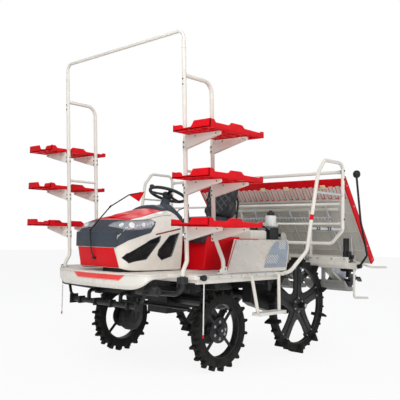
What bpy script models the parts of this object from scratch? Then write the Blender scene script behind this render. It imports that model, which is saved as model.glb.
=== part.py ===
"""Riding rice transplanter with seedling racks and its planting unit raised.

Lengths are metres and angles are degrees. The machine drives towards -Y, +Z is up and
+X is the driver's left. Places along Y are measured from the front axle; one empty moves
the whole machine so that its origin lies on the ground under the middle of its length.
"""
from math import ceil
from math import cos
from math import degrees
from math import hypot
from math import pi
from math import radians
from math import sin
from math import tan

import bmesh
import bpy
from mathutils import Matrix
from mathutils import Vector

# Clearances
GAP = 0.0003
RUNNING_GAP = 0.005
BORE_GAP = 0.0008

# Facets
BEND_STEP = 30.0
TUBE_SIDES = 8
SHARP_EDGE = 35.0

# Wheels
WHEELBASE = 1.14
FRONT_RADIUS = 0.325
FRONT_TRACK = 1.22
FRONT_TYRE_WIDTH = 0.090
FRONT_LUGS = 18
REAR_RADIUS = 0.450
REAR_TRACK = 1.214
REAR_TYRE_WIDTH = 0.070
REAR_PADDLES = 10
REAR_PADDLE_WIDTH = 0.140
HUB_HALF = 0.036

# Chassis and drive line
RAIL_X = 0.200
RAIL_WIDTH = 0.060
RAIL_BOTTOM = 0.600
RAIL_TOP = 0.660
RAIL_FRONT = -0.620
RAIL_REAR = WHEELBASE - 0.130
KINGPIN_X = 0.470
KINGPIN_RADIUS = 0.050
AXLE_TUBE_Z = 0.545
AXLE_TUBE_RADIUS = 0.044
AXLE_END_BOTTOM = 0.490
STEER_ARM_Y = -0.170
STEER_ARM_X = 0.430
STEER_ARM_DROP = 0.010
REAR_BEAM_Y = WHEELBASE - 0.460
REAR_BEAM_Z = 0.550
REAR_BEAM_RADIUS = 0.045
REAR_GEARBOX_RADIUS = 0.105
REAR_CASE_IN = 0.400
REAR_CASE_OUT = 0.500
STUB_RADIUS = 0.030

# Deck, fenders and body
DECK_TOP = 0.800
DECK_THICKNESS = 0.035
TREAD_RISE = 0.0015
DECK_HALF = 0.860
DECK_FRONT = -0.540
DECK_REAR = 0.490
NOSE_FRONT = -0.845
NOSE_HALF = 0.570
BAY_HALF = 0.240
BAY_FRONT = -0.750
NOSE_BOTTOM = 0.660
NOSE_WALL = 0.025
BODY_HALF = 0.420
BODY_TOP = 1.065
BODY_FRONT = 0.500
BODY_REAR = WHEELBASE + 0.060
BODY_WALL = 0.020
BODY_FOOT = 0.700
SEAT_BASE_FRONT = 0.020
FENDER_WHEEL_GAP = 0.050

# Bonnet
BONNET_BOTTOM = 0.808
BONNET_REAR = -0.112
BONNET_TOP_REAR = -0.210
BONNET_WALL = 0.010
HINGE_Y = -0.728
HINGE_Z = 0.818
HINGE_RADIUS = 0.010
HINGE_BARREL_IN = 0.130
HINGE_BARREL_OUT = 0.180
MAST_FOOT = (-0.030, -0.792, 0.900)

# Steering wheel
WHEEL_RIM_RADIUS = 0.190
WHEEL_RIM_TUBE = 0.014
WHEEL_CENTRE = (0.0, -0.020, 1.450)
COLUMN_TILT = 20.0
COLUMN_LENGTH = 0.150

# Seedling racks
RACK_X = DECK_HALF - 0.122
RACK_TUBE = 0.016
RACK_LEAN = 0.0485
RACK_FRONT_Y = -0.529
RACK_REAR_Y = -0.223
RACK_HOOP_TOP = 2.285
RACK_POST_TOP = 2.500
RACK_BAR_TOP = 2.624
RACK_BAR_TUBE = 0.0135
RACK_RUNG_Z = 1.570
RACK_FOOT_X = DECK_HALF - 0.120
RACK_FOOT_Y = -0.567
RACK_FOOT_Z = 0.784
RACK_REAR_FOOT_X = DECK_HALF - 0.020
RACK_REAR_FOOT_Y = -0.230
SHELF_HEIGHTS = (("top", 1.832), ("middle", 1.493), ("bottom", 1.155))
SHELF_IN = RACK_X + 0.032
SHELF_OUT = SHELF_IN + 0.360
SHELF_FRONT = -0.730
SHELF_REAR = -0.120
SHELF_BASE = 0.010
SHELF_WALL = 0.010

# Handrails and guard rails
HOOP_X = DECK_HALF + 0.240
HOOP_TUBE = 0.016
HOOP_TOP = 1.766
HOOP_REAR_Y = WHEELBASE - 0.020
GUARD_RAILS = (("bottom", 1.220, 0.011), ("middle", 1.400, 0.011), ("top", 1.690, 0.016))

# Lift linkage
LINK_Y = WHEELBASE - 0.060
LOWER_PIVOT_Z = 0.600
UPPER_PIVOT_Z = 0.860
LINK_LENGTH = 0.500
LINK_RAISED = 30.0
EYE_HALF = 0.025
BRACKET_IN = 0.170
BRACKET_PLATE = 0.015
LIFT_ARM = 0.200
LIFT_ARM_DROP = 0.070
CYLINDER_FOOT_Y = LINK_Y - 0.220
CYLINDER_FOOT_Z = 0.380

# Planting unit
BEAM_HALF = 0.978
BEAM_HEIGHT = 0.060
BEAM_CENTRE_Z = 0.820
ROW_CENTRES = (("left", 0.600), ("centre", 0.0), ("right", -0.600))
ROTOR_Y = LINK_Y + 0.910
ROTOR_Z = 0.650
ROTOR_RADIUS = 0.120
ROTOR_SHAFT = 0.0142
FLOAT_BOTTOM = 0.560
FLOAT_TOP = 0.600
FLOAT_REAR = LINK_Y + 0.990
PLATFORM_TOP_Y = LINK_Y + 0.340
PLATFORM_TOP_Z = 1.630
PLATFORM_FOOT_Y = LINK_Y + 0.920
PLATFORM_FOOT_Z = 0.835
PLATFORM_HALF = 0.944
PLATFORM_BOARD = 0.012
PLATFORM_EDGE = 0.014
PLATFORM_SHIFT = 0.140
LANES = 6
RAIL_TUBE = 0.015
MARKER_PIVOT_X = 1.000
MARKER_PIVOT_Z = 0.820
MARKER_BOSS = 0.0217
GUARD_ROD = 0.012
REAR_END = LINK_Y + 1.220

# The middle of the length, from the nose cowl to the end of the rear guard rods
ORIGIN_FROM_FRONT_AXLE = (NOSE_FRONT + REAR_END) / 2
SIDES = (("left", 1), ("right", -1))

# Finishes: colour, metallic, roughness
FINISHES = {
    "cream": ((0.80, 0.77, 0.70), 0.0, 0.40),
    "red": ((0.75, 0.01, 0.015), 0.0, 0.35),
    "black": ((0.012, 0.012, 0.014), 0.1, 0.50),
    "rubber": ((0.010, 0.010, 0.010), 0.0, 0.80),
    "charcoal": ((0.040, 0.050, 0.062), 0.0, 0.45),
    "grey": ((0.30, 0.30, 0.29), 0.0, 0.60),
    "iron": ((0.10, 0.10, 0.105), 0.6, 0.50),
    "steel": ((0.55, 0.55, 0.56), 0.9, 0.30),
    "lens": ((0.55, 0.60, 0.66), 0.2, 0.15),
    "vinyl": ((0.015, 0.016, 0.018), 0.0, 0.60),
}
pivots = {None: Vector((0.0, 0.0, 0.0))}


def clear_scene():
    """Remove every object of the file's scene."""
    for old in list(bpy.data.objects):
        bpy.data.objects.remove(old, do_unlink=True)


def material(name, finish):
    """Make a plain material with one of the finishes."""
    colour, metallic, roughness = FINISHES[finish]
    made = bpy.data.materials.new(name)
    made.use_nodes = True
    made.diffuse_color = (*colour, 1.0)
    shader = made.node_tree.nodes["Principled BSDF"]
    shader.inputs["Base Color"].default_value = (*colour, 1.0)
    shader.inputs["Metallic"].default_value = metallic
    shader.inputs["Roughness"].default_value = roughness
    return made


def shape(bm):
    """Turn a bmesh into an object with its faces pointing out."""
    bmesh.ops.recalc_face_normals(bm, faces=bm.faces)
    mesh = bpy.data.meshes.new("shape")
    bm.to_mesh(mesh)
    bm.free()
    made = bpy.data.objects.new("shape", mesh)
    bpy.context.scene.collection.objects.link(made)
    return made


def loft(rings):
    """Skin a row of rings, each a list of points, and close both ends."""
    bm = bmesh.new()
    loops = [[bm.verts.new(point) for point in ring] for ring in rings]
    for lower, upper in zip(loops, loops[1:]):
        for index, corner in enumerate(lower):
            following = (index + 1) % len(lower)
            bm.faces.new((corner, lower[following], upper[following], upper[index]))
    bm.faces.new(loops[0])
    bm.faces.new(reversed(loops[-1]))
    return shape(bm)


def prism(outline, axis, start, end):
    """Extrude a flat outline along an axis; its points are the other two coordinates."""
    def ring(depth):
        if axis == "X":
            return [(depth, first, second) for first, second in outline]
        if axis == "Y":
            return [(first, depth, second) for first, second in outline]
        return [(first, second, depth) for first, second in outline]
    return loft([ring(start), ring(end)])


def block(x_span, y_span, z_span):
    """A box between two places along each axis."""
    outline = [(x_span[0], y_span[0]), (x_span[1], y_span[0]),
               (x_span[1], y_span[1]), (x_span[0], y_span[1])]
    return prism(outline, "Z", *z_span)


def ring_points(centre, direction, radius, sides, phase=0.0):
    """Points of a circle round an axis, the first one lowest or phase steps past it."""
    axis = Vector(direction).normalized()
    reference = Vector((0.0, 0.0, -1.0)) if abs(axis.z) < 0.9 else Vector((1.0, 0.0, 0.0))
    first = (reference - axis * reference.dot(axis)).normalized()
    second = axis.cross(first)
    turns = [2 * pi * (step + phase) / sides for step in range(sides)]
    return [Vector(centre) + (first * cos(turn) + second * sin(turn)) * radius for turn in turns]


def rod(start, end, radius, sides=TUBE_SIDES):
    """A straight round bar."""
    direction = Vector(end) - Vector(start)
    return loft([ring_points(start, direction, radius, sides),
                 ring_points(end, direction, radius, sides)])


def turned(profile, axis, centre, sides, phase=0.0):
    """Revolve a profile of (radius, distance along the axis) round an axis.

    A profile that starts and ends at radius 0 makes a solid, any other one a ring.
    """
    direction = Vector({"X": (1, 0, 0), "Y": (0, 1, 0), "Z": (0, 0, 1)}[axis])
    bm = bmesh.new()
    rings = []
    for radius, along in profile:
        middle = Vector(centre) + direction * along
        points = [middle]
        if radius > 0:
            points = ring_points(middle, direction, radius, sides, phase)
        rings.append([bm.verts.new(point) for point in points])
    for near, far in zip(rings, rings[1:] + rings[:1]):
        for step in range(sides):
            following = (step + 1) % sides
            corners = [near[step % len(near)], near[following % len(near)],
                       far[following % len(far)], far[step % len(far)]]
            corners = list(dict.fromkeys(corners))
            if len(corners) > 2:
                bm.faces.new(corners)
    return shape(bm)


def rounded_path(corners, bend):
    """Replace each corner of a path with an arc of the bend radius."""
    corners = [Vector(corner) for corner in corners]
    points = [corners[0]]
    for before, corner, after in zip(corners, corners[1:], corners[2:]):
        arriving = (corner - before).normalized()
        leaving = (after - corner).normalized()
        turn = arriving.angle(leaving)
        if turn < radians(5.0):
            points.append(corner)
            continue
        room = 0.48 * min((corner - before).length, (after - corner).length)
        back = min(bend * tan(turn / 2), room)
        axis = arriving.cross(leaving).normalized()
        start = corner - arriving * back
        centre = start + axis.cross(arriving) * back / tan(turn / 2)
        steps = max(2, ceil(degrees(turn) / BEND_STEP))
        for step in range(steps + 1):
            spin = Matrix.Rotation(turn * step / steps, 3, axis)
            points.append(centre + spin @ (start - centre))
    points.append(corners[-1])
    return points


def tube(corners, radius, bend=0.06, sides=TUBE_SIDES):
    """A round tube along a path with bent corners."""
    points = rounded_path(corners, bend)
    first = (points[1] - points[0]).normalized()
    normal = first.orthogonal().normalized()
    rings = []
    for index, point in enumerate(points):
        before = points[max(index - 1, 0)]
        after = points[min(index + 1, len(points) - 1)]
        tangent = (after - before).normalized()
        normal = (normal - tangent * normal.dot(tangent)).normalized()
        side = tangent.cross(normal)
        rings.append([point + (normal * cos(2 * pi * step / sides)
                               + side * sin(2 * pi * step / sides)) * radius
                      for step in range(sides)])
    return loft(rings)


def combined(base, others, operation):
    """Apply one boolean operation of the other shapes to the base and drop them."""
    if not others:
        return base
    group = bpy.data.collections.new("operands")
    for other in others:
        group.objects.link(other)
    modifier = base.modifiers.new("combine", "BOOLEAN")
    modifier.operation = operation
    modifier.operand_type = "COLLECTION"
    modifier.collection = group
    modifier.solver = "EXACT"
    evaluated = base.evaluated_get(bpy.context.evaluated_depsgraph_get())
    mesh = bpy.data.meshes.new_from_object(evaluated)
    base.modifiers.clear()
    base.data = mesh
    for other in others:
        bpy.data.objects.remove(other, do_unlink=True)
    bpy.data.collections.remove(group)
    return base


def fused(*shapes):
    """Join shapes that overlap into one closed body."""
    return combined(shapes[0], list(shapes[1:]), "UNION")


def cut(base, *cutters):
    """Take the cutters out of a shape."""
    return combined(base, list(cutters), "DIFFERENCE")


def piece(name, made, finish, pivot=(0.0, 0.0, 0.0), parent=None):
    """Name a finished shape, put its origin on its pivot and hang it on its parent."""
    made.name = name
    made.data.name = name
    made.data.transform(Matrix.Translation(-Vector(pivot)))
    made.data.materials.clear()
    made.data.materials.append(material(name, finish))
    made.data.shade_smooth()
    made.data.set_sharp_from_angle(angle=radians(SHARP_EDGE))
    carrier = bpy.data.objects[parent or "machine_frame"]
    made.parent = carrier
    made.location = Vector(pivot) - pivots[parent]
    pivots[name] = Vector(pivot)
    return made


def along(start, direction, distance):
    """The point at a distance from another one."""
    return Vector(start) + Vector(direction) * distance


def swing_direction(angle):
    """Unit vector in the YZ plane, an angle above the +Y direction."""
    return Vector((0.0, cos(radians(angle)), sin(radians(angle))))


# Wheels

def lug(angle, axle, x_span, radii, halves, shifts):
    """One rubber lug: a bar across the tyre, from its root radius to its tip radius.

    halves are the root's and the tip's half widths along the tread; shifts move the two
    ends of x_span along it, so that a lug can slant.
    """
    turn = radians(angle)
    out = Vector((0.0, sin(turn), -cos(turn)))
    tread = Vector((0.0, cos(turn), sin(turn)))
    rings = []
    for x_place, shift in zip(x_span, shifts):
        foot = Vector((x_place, axle[0], axle[1])) + tread * shift
        rings.append([foot + out * radii[0] - tread * halves[0],
                      foot + out * radii[1] - tread * halves[1],
                      foot + out * radii[1] + tread * halves[1],
                      foot + out * radii[0] + tread * halves[0]])
    return loft(rings)


def front_wheel(side_name, side):
    """Steered wheel: a narrow rubber ring with staggered lugs on four round spokes."""
    centre_x = side * FRONT_TRACK / 2
    half = FRONT_TYRE_WIDTH / 2
    ring_radius = FRONT_RADIUS - 0.034
    rim_radius = ring_radius - 0.070
    centre = (centre_x, 0.0, FRONT_RADIUS)
    ring = turned([(rim_radius, -half * 0.7), (ring_radius, -half), (ring_radius, half),
                   (rim_radius, half * 0.7)], "X", centre, 2 * FRONT_LUGS, 0.5)
    lugs = []
    pitch = 360.0 / FRONT_LUGS
    for index in range(FRONT_LUGS):
        for face, shift in ((1, 0.0), (-1, pitch / 2)):
            lugs.append(lug(index * pitch + shift, (0.0, FRONT_RADIUS),
                            (centre_x + face * (half - 0.002), centre_x - face * 0.004),
                            (ring_radius - 0.016, FRONT_RADIUS),
                            (0.014, 0.010), (-0.006, 0.006)))
    hub = turned([(0.0, -HUB_HALF), (0.040, -HUB_HALF), (0.040, -0.008), (0.105, -0.008),
                  (0.105, 0.008), (0.048, 0.008), (0.044, HUB_HALF), (0.0, HUB_HALF)],
                 "X", centre, 12)
    spokes = []
    for quarter in range(4):
        angle = radians(45.0 + 90.0 * quarter)
        direction = Vector((0.0, sin(angle), cos(angle)))
        spokes.append(rod(along(centre, direction, 0.080),
                          along(centre, direction, rim_radius + 0.012), 0.012, 6))
    made = fused(ring, *lugs, hub, *spokes)
    piece(f"front_wheel_{side_name}", made, "rubber", centre, f"knuckle_{side_name}")


def rear_wheel(side_name, side):
    """Driven wheel: a thin rubber ring with wide paddles on a five-armed cast web."""
    centre_x = side * REAR_TRACK / 2
    half = REAR_TYRE_WIDTH / 2
    centre = (centre_x, WHEELBASE, REAR_RADIUS)
    ring_radius = REAR_RADIUS - 0.034
    rim_radius = ring_radius - 0.052
    ring = turned([(rim_radius, -half * 0.6), (ring_radius, -half), (ring_radius, half),
                   (rim_radius, half * 0.6)], "X", centre, 3 * REAR_PADDLES, 0.5)
    lugs = []
    pitch = 360.0 / REAR_PADDLES
    paddle_half = REAR_PADDLE_WIDTH / 2
    for index in range(REAR_PADDLES):
        lugs.append(lug(index * pitch, (WHEELBASE, REAR_RADIUS),
                        (centre_x + paddle_half, centre_x - paddle_half),
                        (rim_radius + 0.010, REAR_RADIUS),
                        (0.014, 0.007), (0.0, 0.0)))
        for small in (1, 2):
            lugs.append(lug((index + small / 3) * pitch, (WHEELBASE, REAR_RADIUS),
                            (centre_x + half * 0.9, centre_x - half * 0.9),
                            (ring_radius - 0.010, ring_radius + 0.020), (0.013, 0.009),
                            (0.0, 0.0)))
    outline = []
    arms = REAR_PADDLES // 2
    for arm in range(arms):
        for turn, radius in ((-9.0, rim_radius + 0.012), (9.0, rim_radius + 0.012),
                             (11.0, 0.270), (20.0, 0.175), (36.0, 0.140), (52.0, 0.175),
                             (61.0, 0.270)):
            angle = radians(arm * 360.0 / arms + turn)
            outline.append((WHEELBASE + radius * sin(angle), REAR_RADIUS + radius * cos(angle)))
    web = prism(outline, "X", centre_x - 0.007, centre_x + 0.007)
    hub_in = -side * HUB_HALF
    stub_out = side * 0.100
    hub = turned([(0.0, hub_in), (0.052, hub_in), (0.075, -side * 0.012), (0.075, side * 0.014),
                  (0.045, side * 0.030), (0.030, side * 0.034), (0.030, stub_out),
                  (0.0, stub_out)], "X", centre, 12)
    made = fused(ring, *lugs, web, hub)
    piece(f"rear_wheel_{side_name}", made, "rubber", centre)


# Chassis and drive line

def chassis():
    """Two rails with cross tubes, deck posts, rack sockets and the rear link brackets."""
    half = RAIL_WIDTH / 2
    shapes = []
    deck_under = DECK_TOP - DECK_THICKNESS - GAP
    for side in (1, -1):
        shapes.append(block((side * RAIL_X - half, side * RAIL_X + half),
                            (RAIL_FRONT, RAIL_REAR), (RAIL_BOTTOM, RAIL_TOP)))
        shapes.append(tube([(side * (RAIL_X - 0.02), RAIL_FRONT + 0.021, 0.645),
                            (side * (RACK_FOOT_X - 0.03), RAIL_FRONT + 0.021, 0.660),
                            (side * RACK_FOOT_X, RACK_FOOT_Y, 0.700),
                            (side * RACK_FOOT_X, RACK_FOOT_Y, RACK_FOOT_Z)], 0.020, 0.04))
        for post_x, post_y in ((0.400, -0.600), (DECK_HALF - 0.080, 0.420), (0.300, 0.420)):
            shapes.append(block((side * post_x - 0.015, side * post_x + 0.015),
                                (post_y - 0.015, post_y + 0.015), (0.650, deck_under)))
        plate_out = side * (BRACKET_IN + BRACKET_PLATE)
        outline = [(-0.150, 0.605), (-0.150, 0.655), (-0.070, 0.890), (-0.020, 0.905),
                   (0.025, 0.890), (0.032, 0.860), (0.032, 0.580), (-0.020, 0.560), (-0.090, 0.580)]
        outline = [(LINK_Y + back, height) for back, height in outline]
        shapes.append(prism(outline, "X", side * BRACKET_IN, plate_out))
    shapes.append(block((-DECK_HALF + 0.060, DECK_HALF - 0.060), (0.405, 0.435), (0.645, 0.690)))
    body_rest = WHEELBASE - 0.240
    shapes.append(block((-REAR_CASE_IN + 0.005, REAR_CASE_IN - 0.005),
                        (body_rest - 0.015, body_rest + 0.015), (0.645, 0.698)))
    shapes.append(block((-BODY_HALF, BODY_HALF), (body_rest - 0.020, body_rest + 0.020),
                        (0.695, BODY_FOOT)))
    shapes.append(block((-RAIL_X, RAIL_X), (-0.615, -0.585), (0.615, 0.650)))
    shapes.append(block((-RAIL_X, RAIL_X), (CYLINDER_FOOT_Y - 0.050, CYLINDER_FOOT_Y - 0.010),
                        (0.610, 0.650)))
    for side in (1, -1):
        foot = [(CYLINDER_FOOT_Y - 0.045, 0.640), (CYLINDER_FOOT_Y - 0.015, 0.640),
                (CYLINDER_FOOT_Y + 0.012, CYLINDER_FOOT_Z + 0.040),
                (CYLINDER_FOOT_Y + 0.024, CYLINDER_FOOT_Z + 0.010),
                (CYLINDER_FOOT_Y + 0.014, CYLINDER_FOOT_Z - 0.024),
                (CYLINDER_FOOT_Y - 0.020, CYLINDER_FOOT_Z - 0.024),
                (CYLINDER_FOOT_Y - 0.035, CYLINDER_FOOT_Z + 0.040)]
        shapes.append(prism(foot, "X", side * (EYE_HALF + GAP), side * (EYE_HALF + 0.012)))
    piece("chassis_frame", fused(*shapes), "black")


def engine():
    """Plain block for the diesel engine, standing on the rails inside the bonnet."""
    made = block((-0.205, 0.205), (-0.560, -0.170), (RAIL_TOP + GAP, 1.020))
    piece("engine_block", made, "iron")


def front_axle():
    """Front axle tube with its kingpin housings, gearbox and the drive back to the rear."""
    seat = RAIL_BOTTOM - GAP
    shapes = [rod((-KINGPIN_X, 0.0, AXLE_TUBE_Z), (KINGPIN_X, 0.0, AXLE_TUBE_Z),
                  AXLE_TUBE_RADIUS, 12),
              block((-0.120, 0.120), (-0.120, 0.160), (0.420, 0.590)),
              block((-0.225, 0.225), (-0.100, 0.140), (0.580, seat)),
              block((-0.100, 0.100), (0.150, REAR_BEAM_Y - 0.200), (0.445, 0.585)),
              rod((0.0, REAR_BEAM_Y - 0.210, REAR_BEAM_Z - 0.03),
                  (0.0, REAR_BEAM_Y - REAR_GEARBOX_RADIUS - RUNNING_GAP, REAR_BEAM_Z - 0.03),
                  0.024)]
    for side in (1, -1):
        shapes.append(rod((side * KINGPIN_X, 0.0, AXLE_END_BOTTOM),
                          (side * KINGPIN_X, 0.0, 0.612), KINGPIN_RADIUS + 0.004, 14))
    piece("front_axle_case", fused(*shapes), "black")


def knuckle(side_name, side):
    """Steering knuckle: upright, round final drive, stub axle and steering arm."""
    pin_x = side * KINGPIN_X
    top = AXLE_END_BOTTOM - GAP
    wheel_face = FRONT_TRACK / 2 - HUB_HALF - GAP
    upright = rod((pin_x, 0.0, FRONT_RADIUS - 0.02), (pin_x, 0.0, top), KINGPIN_RADIUS, 14)
    profile = [(0.0, 0.430), (0.060, 0.430), (0.118, 0.445), (0.125, 0.455), (0.125, 0.500),
               (0.112, 0.512), (0.060, 0.530), (0.045, 0.548), (0.030, 0.552),
               (0.030, wheel_face), (0.0, wheel_face)]
    case = turned([(radius, side * out) for radius, out in profile], "X",
                  (0.0, 0.0, FRONT_RADIUS), 16)
    arm_outline = [(side * (KINGPIN_X - 0.020), -0.030),
                   (side * (STEER_ARM_X - 0.018), STEER_ARM_Y),
                   (side * STEER_ARM_X, STEER_ARM_Y - 0.018),
                   (side * (STEER_ARM_X + 0.018), STEER_ARM_Y),
                   (side * (KINGPIN_X + 0.030), -0.030)]
    arm = prism(arm_outline, "Z", top - STEER_ARM_DROP - 0.012, top - STEER_ARM_DROP)
    piece(f"knuckle_{side_name}", fused(upright, case, arm), "black",
          (pin_x, 0.0, AXLE_END_BOTTOM))


def tie_rod():
    """Bar that lies on the ends of both steering arms."""
    radius = 0.011
    height = AXLE_END_BOTTOM - STEER_ARM_DROP + radius
    end = STEER_ARM_X + 0.015
    piece("tie_rod", rod((-end, STEER_ARM_Y, height), (end, STEER_ARM_Y, height), radius),
          "black", (0.0, STEER_ARM_Y, height))


def rear_axle():
    """Rear axle beam under the rails with the final drive cases inside the wheels."""
    shapes = [rod((-REAR_CASE_IN - 0.02, REAR_BEAM_Y, REAR_BEAM_Z),
                  (REAR_CASE_IN + 0.02, REAR_BEAM_Y, REAR_BEAM_Z), REAR_BEAM_RADIUS, 12),
              turned([(0.0, -0.110), (0.080, -0.110), (REAR_GEARBOX_RADIUS, -0.060),
                      (REAR_GEARBOX_RADIUS, 0.060), (0.080, 0.110), (0.0, 0.110)], "X",
                     (0.0, REAR_BEAM_Y, REAR_BEAM_Z - 0.060), 14)]
    stub_end = REAR_TRACK / 2 - HUB_HALF - GAP
    outline = [(REAR_BEAM_Y - 0.120, 0.500), (REAR_BEAM_Y - 0.120, 0.650),
               (REAR_BEAM_Y - 0.080, 0.690), (WHEELBASE - 0.240, 0.690),
               (WHEELBASE - 0.180, 0.660), (WHEELBASE + 0.070, 0.510), (WHEELBASE + 0.090, 0.450),
               (WHEELBASE + 0.060, 0.380), (WHEELBASE, 0.355), (WHEELBASE - 0.180, 0.370),
               (REAR_BEAM_Y - 0.040, 0.460)]
    for side in (1, -1):
        shapes.append(prism(outline, "X", side * REAR_CASE_IN, side * REAR_CASE_OUT))
        shapes.append(rod((side * (REAR_CASE_OUT - 0.02), WHEELBASE, REAR_RADIUS),
                          (side * stub_end, WHEELBASE, REAR_RADIUS), STUB_RADIUS, 12))
        shapes.append(block((side * RAIL_X - 0.03, side * RAIL_X + 0.03),
                            (REAR_BEAM_Y - 0.040, REAR_BEAM_Y + 0.040),
                            (REAR_BEAM_Z, RAIL_BOTTOM - GAP)))
    piece("rear_axle_case", fused(*shapes), "black")


def bumper():
    """Front roll bar with its end plates, arms, clamps and the tubes up to the nose."""
    bar_y = -0.700
    bar_z = 0.545
    bar_half = 0.410
    shapes = [rod((-bar_half, bar_y, bar_z), (bar_half, bar_y, bar_z), 0.022)]
    for side in (1, -1):
        shapes.append(block((side * bar_half - 0.005, side * bar_half + 0.005),
                            (bar_y - 0.038, bar_y + 0.042), (bar_z - 0.036, bar_z + 0.040)))
        shapes.append(tube([(side * RAIL_X, RAIL_FRONT - GAP, 0.630),
                            (side * RAIL_X, bar_y, 0.630), (side * RAIL_X, bar_y, bar_z)],
                           0.016, 0.03))
        shapes.append(tube([(side * (bar_half - 0.01), bar_y, 0.565), (side * 0.450, bar_y, 0.590),
                            (side * 0.480, bar_y + 0.006, NOSE_BOTTOM - GAP)], 0.012, 0.03))
    for clamp in (-0.300, -0.100, 0.100, 0.300):
        shapes.append(block((clamp - 0.009, clamp + 0.009), (bar_y - 0.030, bar_y + 0.030),
                            (bar_z - 0.029, bar_z + 0.029)))
    piece("front_bumper", fused(*shapes), "black")


# Deck and body

def deck():
    """Walking deck with the nose cowl, two raised tread panels and the open bay."""
    under = DECK_TOP - DECK_THICKNESS
    nose_half = [(NOSE_HALF, -0.640), (NOSE_HALF - 0.002, -0.700), (NOSE_HALF - 0.030, -0.760),
                 (NOSE_HALF - 0.130, -0.805), (NOSE_HALF - 0.330, -0.835)]
    front = nose_half + [(0.0, NOSE_FRONT)] + [(-x, y) for x, y in reversed(nose_half)]
    plate = [(DECK_HALF, DECK_REAR), (DECK_HALF, DECK_FRONT + 0.02),
             (DECK_HALF - 0.02, DECK_FRONT), (NOSE_HALF, DECK_FRONT)]
    plate = plate + front + [(-x, y) for x, y in reversed(plate)]
    shapes = [prism(plate, "Z", under, DECK_TOP),
              prism(front, "Z", NOSE_BOTTOM, DECK_TOP - 0.010)]
    made = fused(*shapes)
    inner = [(x * (1 - NOSE_WALL / NOSE_HALF), y + NOSE_WALL) for x, y in front]
    inner = [(inner[0][0], -0.50)] + inner[1:-1] + [(inner[-1][0], -0.50)]
    bay = block((-BAY_HALF, BAY_HALF), (BAY_FRONT, -0.140), (under - 0.10, DECK_TOP + 0.10))
    hollow = prism(inner, "Z", NOSE_BOTTOM - 0.10, under)
    made = cut(made, hollow)
    made = cut(made, bay)
    lug = [(BAY_FRONT - 0.005, under + 0.005), (BAY_FRONT - 0.005, DECK_TOP - 0.008),
           (BAY_FRONT + 0.003, DECK_TOP - 0.006), (HINGE_Y - HINGE_RADIUS, DECK_TOP),
           (HINGE_Y - HINGE_RADIUS, HINGE_Z + HINGE_RADIUS),
           (HINGE_Y + HINGE_RADIUS, HINGE_Z + HINGE_RADIUS), (HINGE_Y + HINGE_RADIUS, DECK_TOP),
           (BAY_FRONT + 0.015, under + 0.005)]
    raised = []
    for side in (1, -1):
        raised.append(prism(lug, "X", side * (HINGE_BARREL_OUT + GAP),
                            side * (HINGE_BARREL_OUT + 0.015)))
        tread = sorted((side * (BAY_HALF + 0.140), side * (RACK_FOOT_X - 0.040)))
        raised.append(block(tread, (DECK_FRONT + 0.040, -0.140),
                            (DECK_TOP - 0.005, DECK_TOP + TREAD_RISE)))
    piece("floor_deck", fused(made, *raised), "cream")


def fender(side_name, side):
    """Sloping rear fender with a step pad, cut round the rear wheel."""
    outer = DECK_HALF - 0.050
    inner = BODY_HALF + GAP
    foot = DECK_TOP + GAP
    section = [(side * inner, BODY_TOP), (side * (inner + 0.085), BODY_TOP),
               (side * outer, foot + 0.010), (side * outer, foot), (side * (outer - 0.030), foot),
               (side * (inner + 0.078), BODY_TOP - 0.022), (side * inner, BODY_TOP - 0.022)]
    slope = prism(section, "Y", -0.120, HOOP_REAR_Y - 0.015)
    beyond = side * (outer + 0.140)
    front_cut = prism([(beyond, -0.40), (beyond, -0.165), (side * outer, -0.080),
                       (side * (inner + 0.080), 0.310), (side * (inner - 0.120), 0.560),
                       (side * (inner - 0.120), -0.40)], "Z", 0.70, 1.20)
    wheel = rod((side * (inner + 0.04), WHEELBASE, REAR_RADIUS),
                (beyond, WHEELBASE, REAR_RADIUS), REAR_RADIUS + FENDER_WHEEL_GAP, 48)
    behind = block(sorted((side * (inner - 0.120), beyond)), (WHEELBASE, WHEELBASE + 0.460),
                   (0.60, 0.99))
    piece(f"fender_{side_name}", cut(slope, front_cut, wheel, behind), "cream")


def seat_base():
    """Red housing under the seat."""
    half = 0.415
    outline = [(SEAT_BASE_FRONT, DECK_TOP + GAP), (SEAT_BASE_FRONT + 0.030, 1.060),
               (SEAT_BASE_FRONT + 0.060, 1.085), (BODY_FRONT - GAP, 1.085),
               (BODY_FRONT - GAP, DECK_TOP + GAP)]
    piece("seat_base", prism(outline, "X", -half, half), "red")


def rear_body():
    """Open cream housing over the rear axle with the tank box on its top."""
    outer = block((-BODY_HALF, BODY_HALF), (BODY_FRONT, BODY_REAR),
                  (BODY_FOOT + GAP, BODY_TOP))
    inner = block((-BODY_HALF + BODY_WALL, BODY_HALF - BODY_WALL),
                  (BODY_FRONT + BODY_WALL, BODY_REAR + 0.10), (0.60, BODY_TOP - BODY_WALL))
    tank = block((-BODY_HALF + 0.020, BODY_HALF - 0.020), (BODY_FRONT + 0.190, BODY_FRONT + 0.430),
                 (BODY_TOP - 0.005, BODY_TOP + 0.085))
    piece("rear_body", fused(cut(outer, inner), tank), "cream")


def seat():
    """Seat with its pedestal, cushion and leaning back."""
    pedestal = block((-0.130, 0.130), (0.300, 0.460), (1.085 + GAP, 1.175))
    cushion = prism([(0.250, 1.180), (0.240, 1.240), (0.280, 1.270), (0.690, 1.255),
                     (0.730, 1.170), (0.290, 1.160)], "X", -0.235, 0.235)
    back = prism([(0.650, 1.200), (0.680, 1.400), (0.710, 1.600), (0.740, 1.650), (0.780, 1.645),
                  (0.790, 1.580), (0.770, 1.400), (0.740, 1.180)], "X", -0.230, 0.230)
    piece("seat", fused(pedestal, cushion, back), "vinyl")


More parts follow.
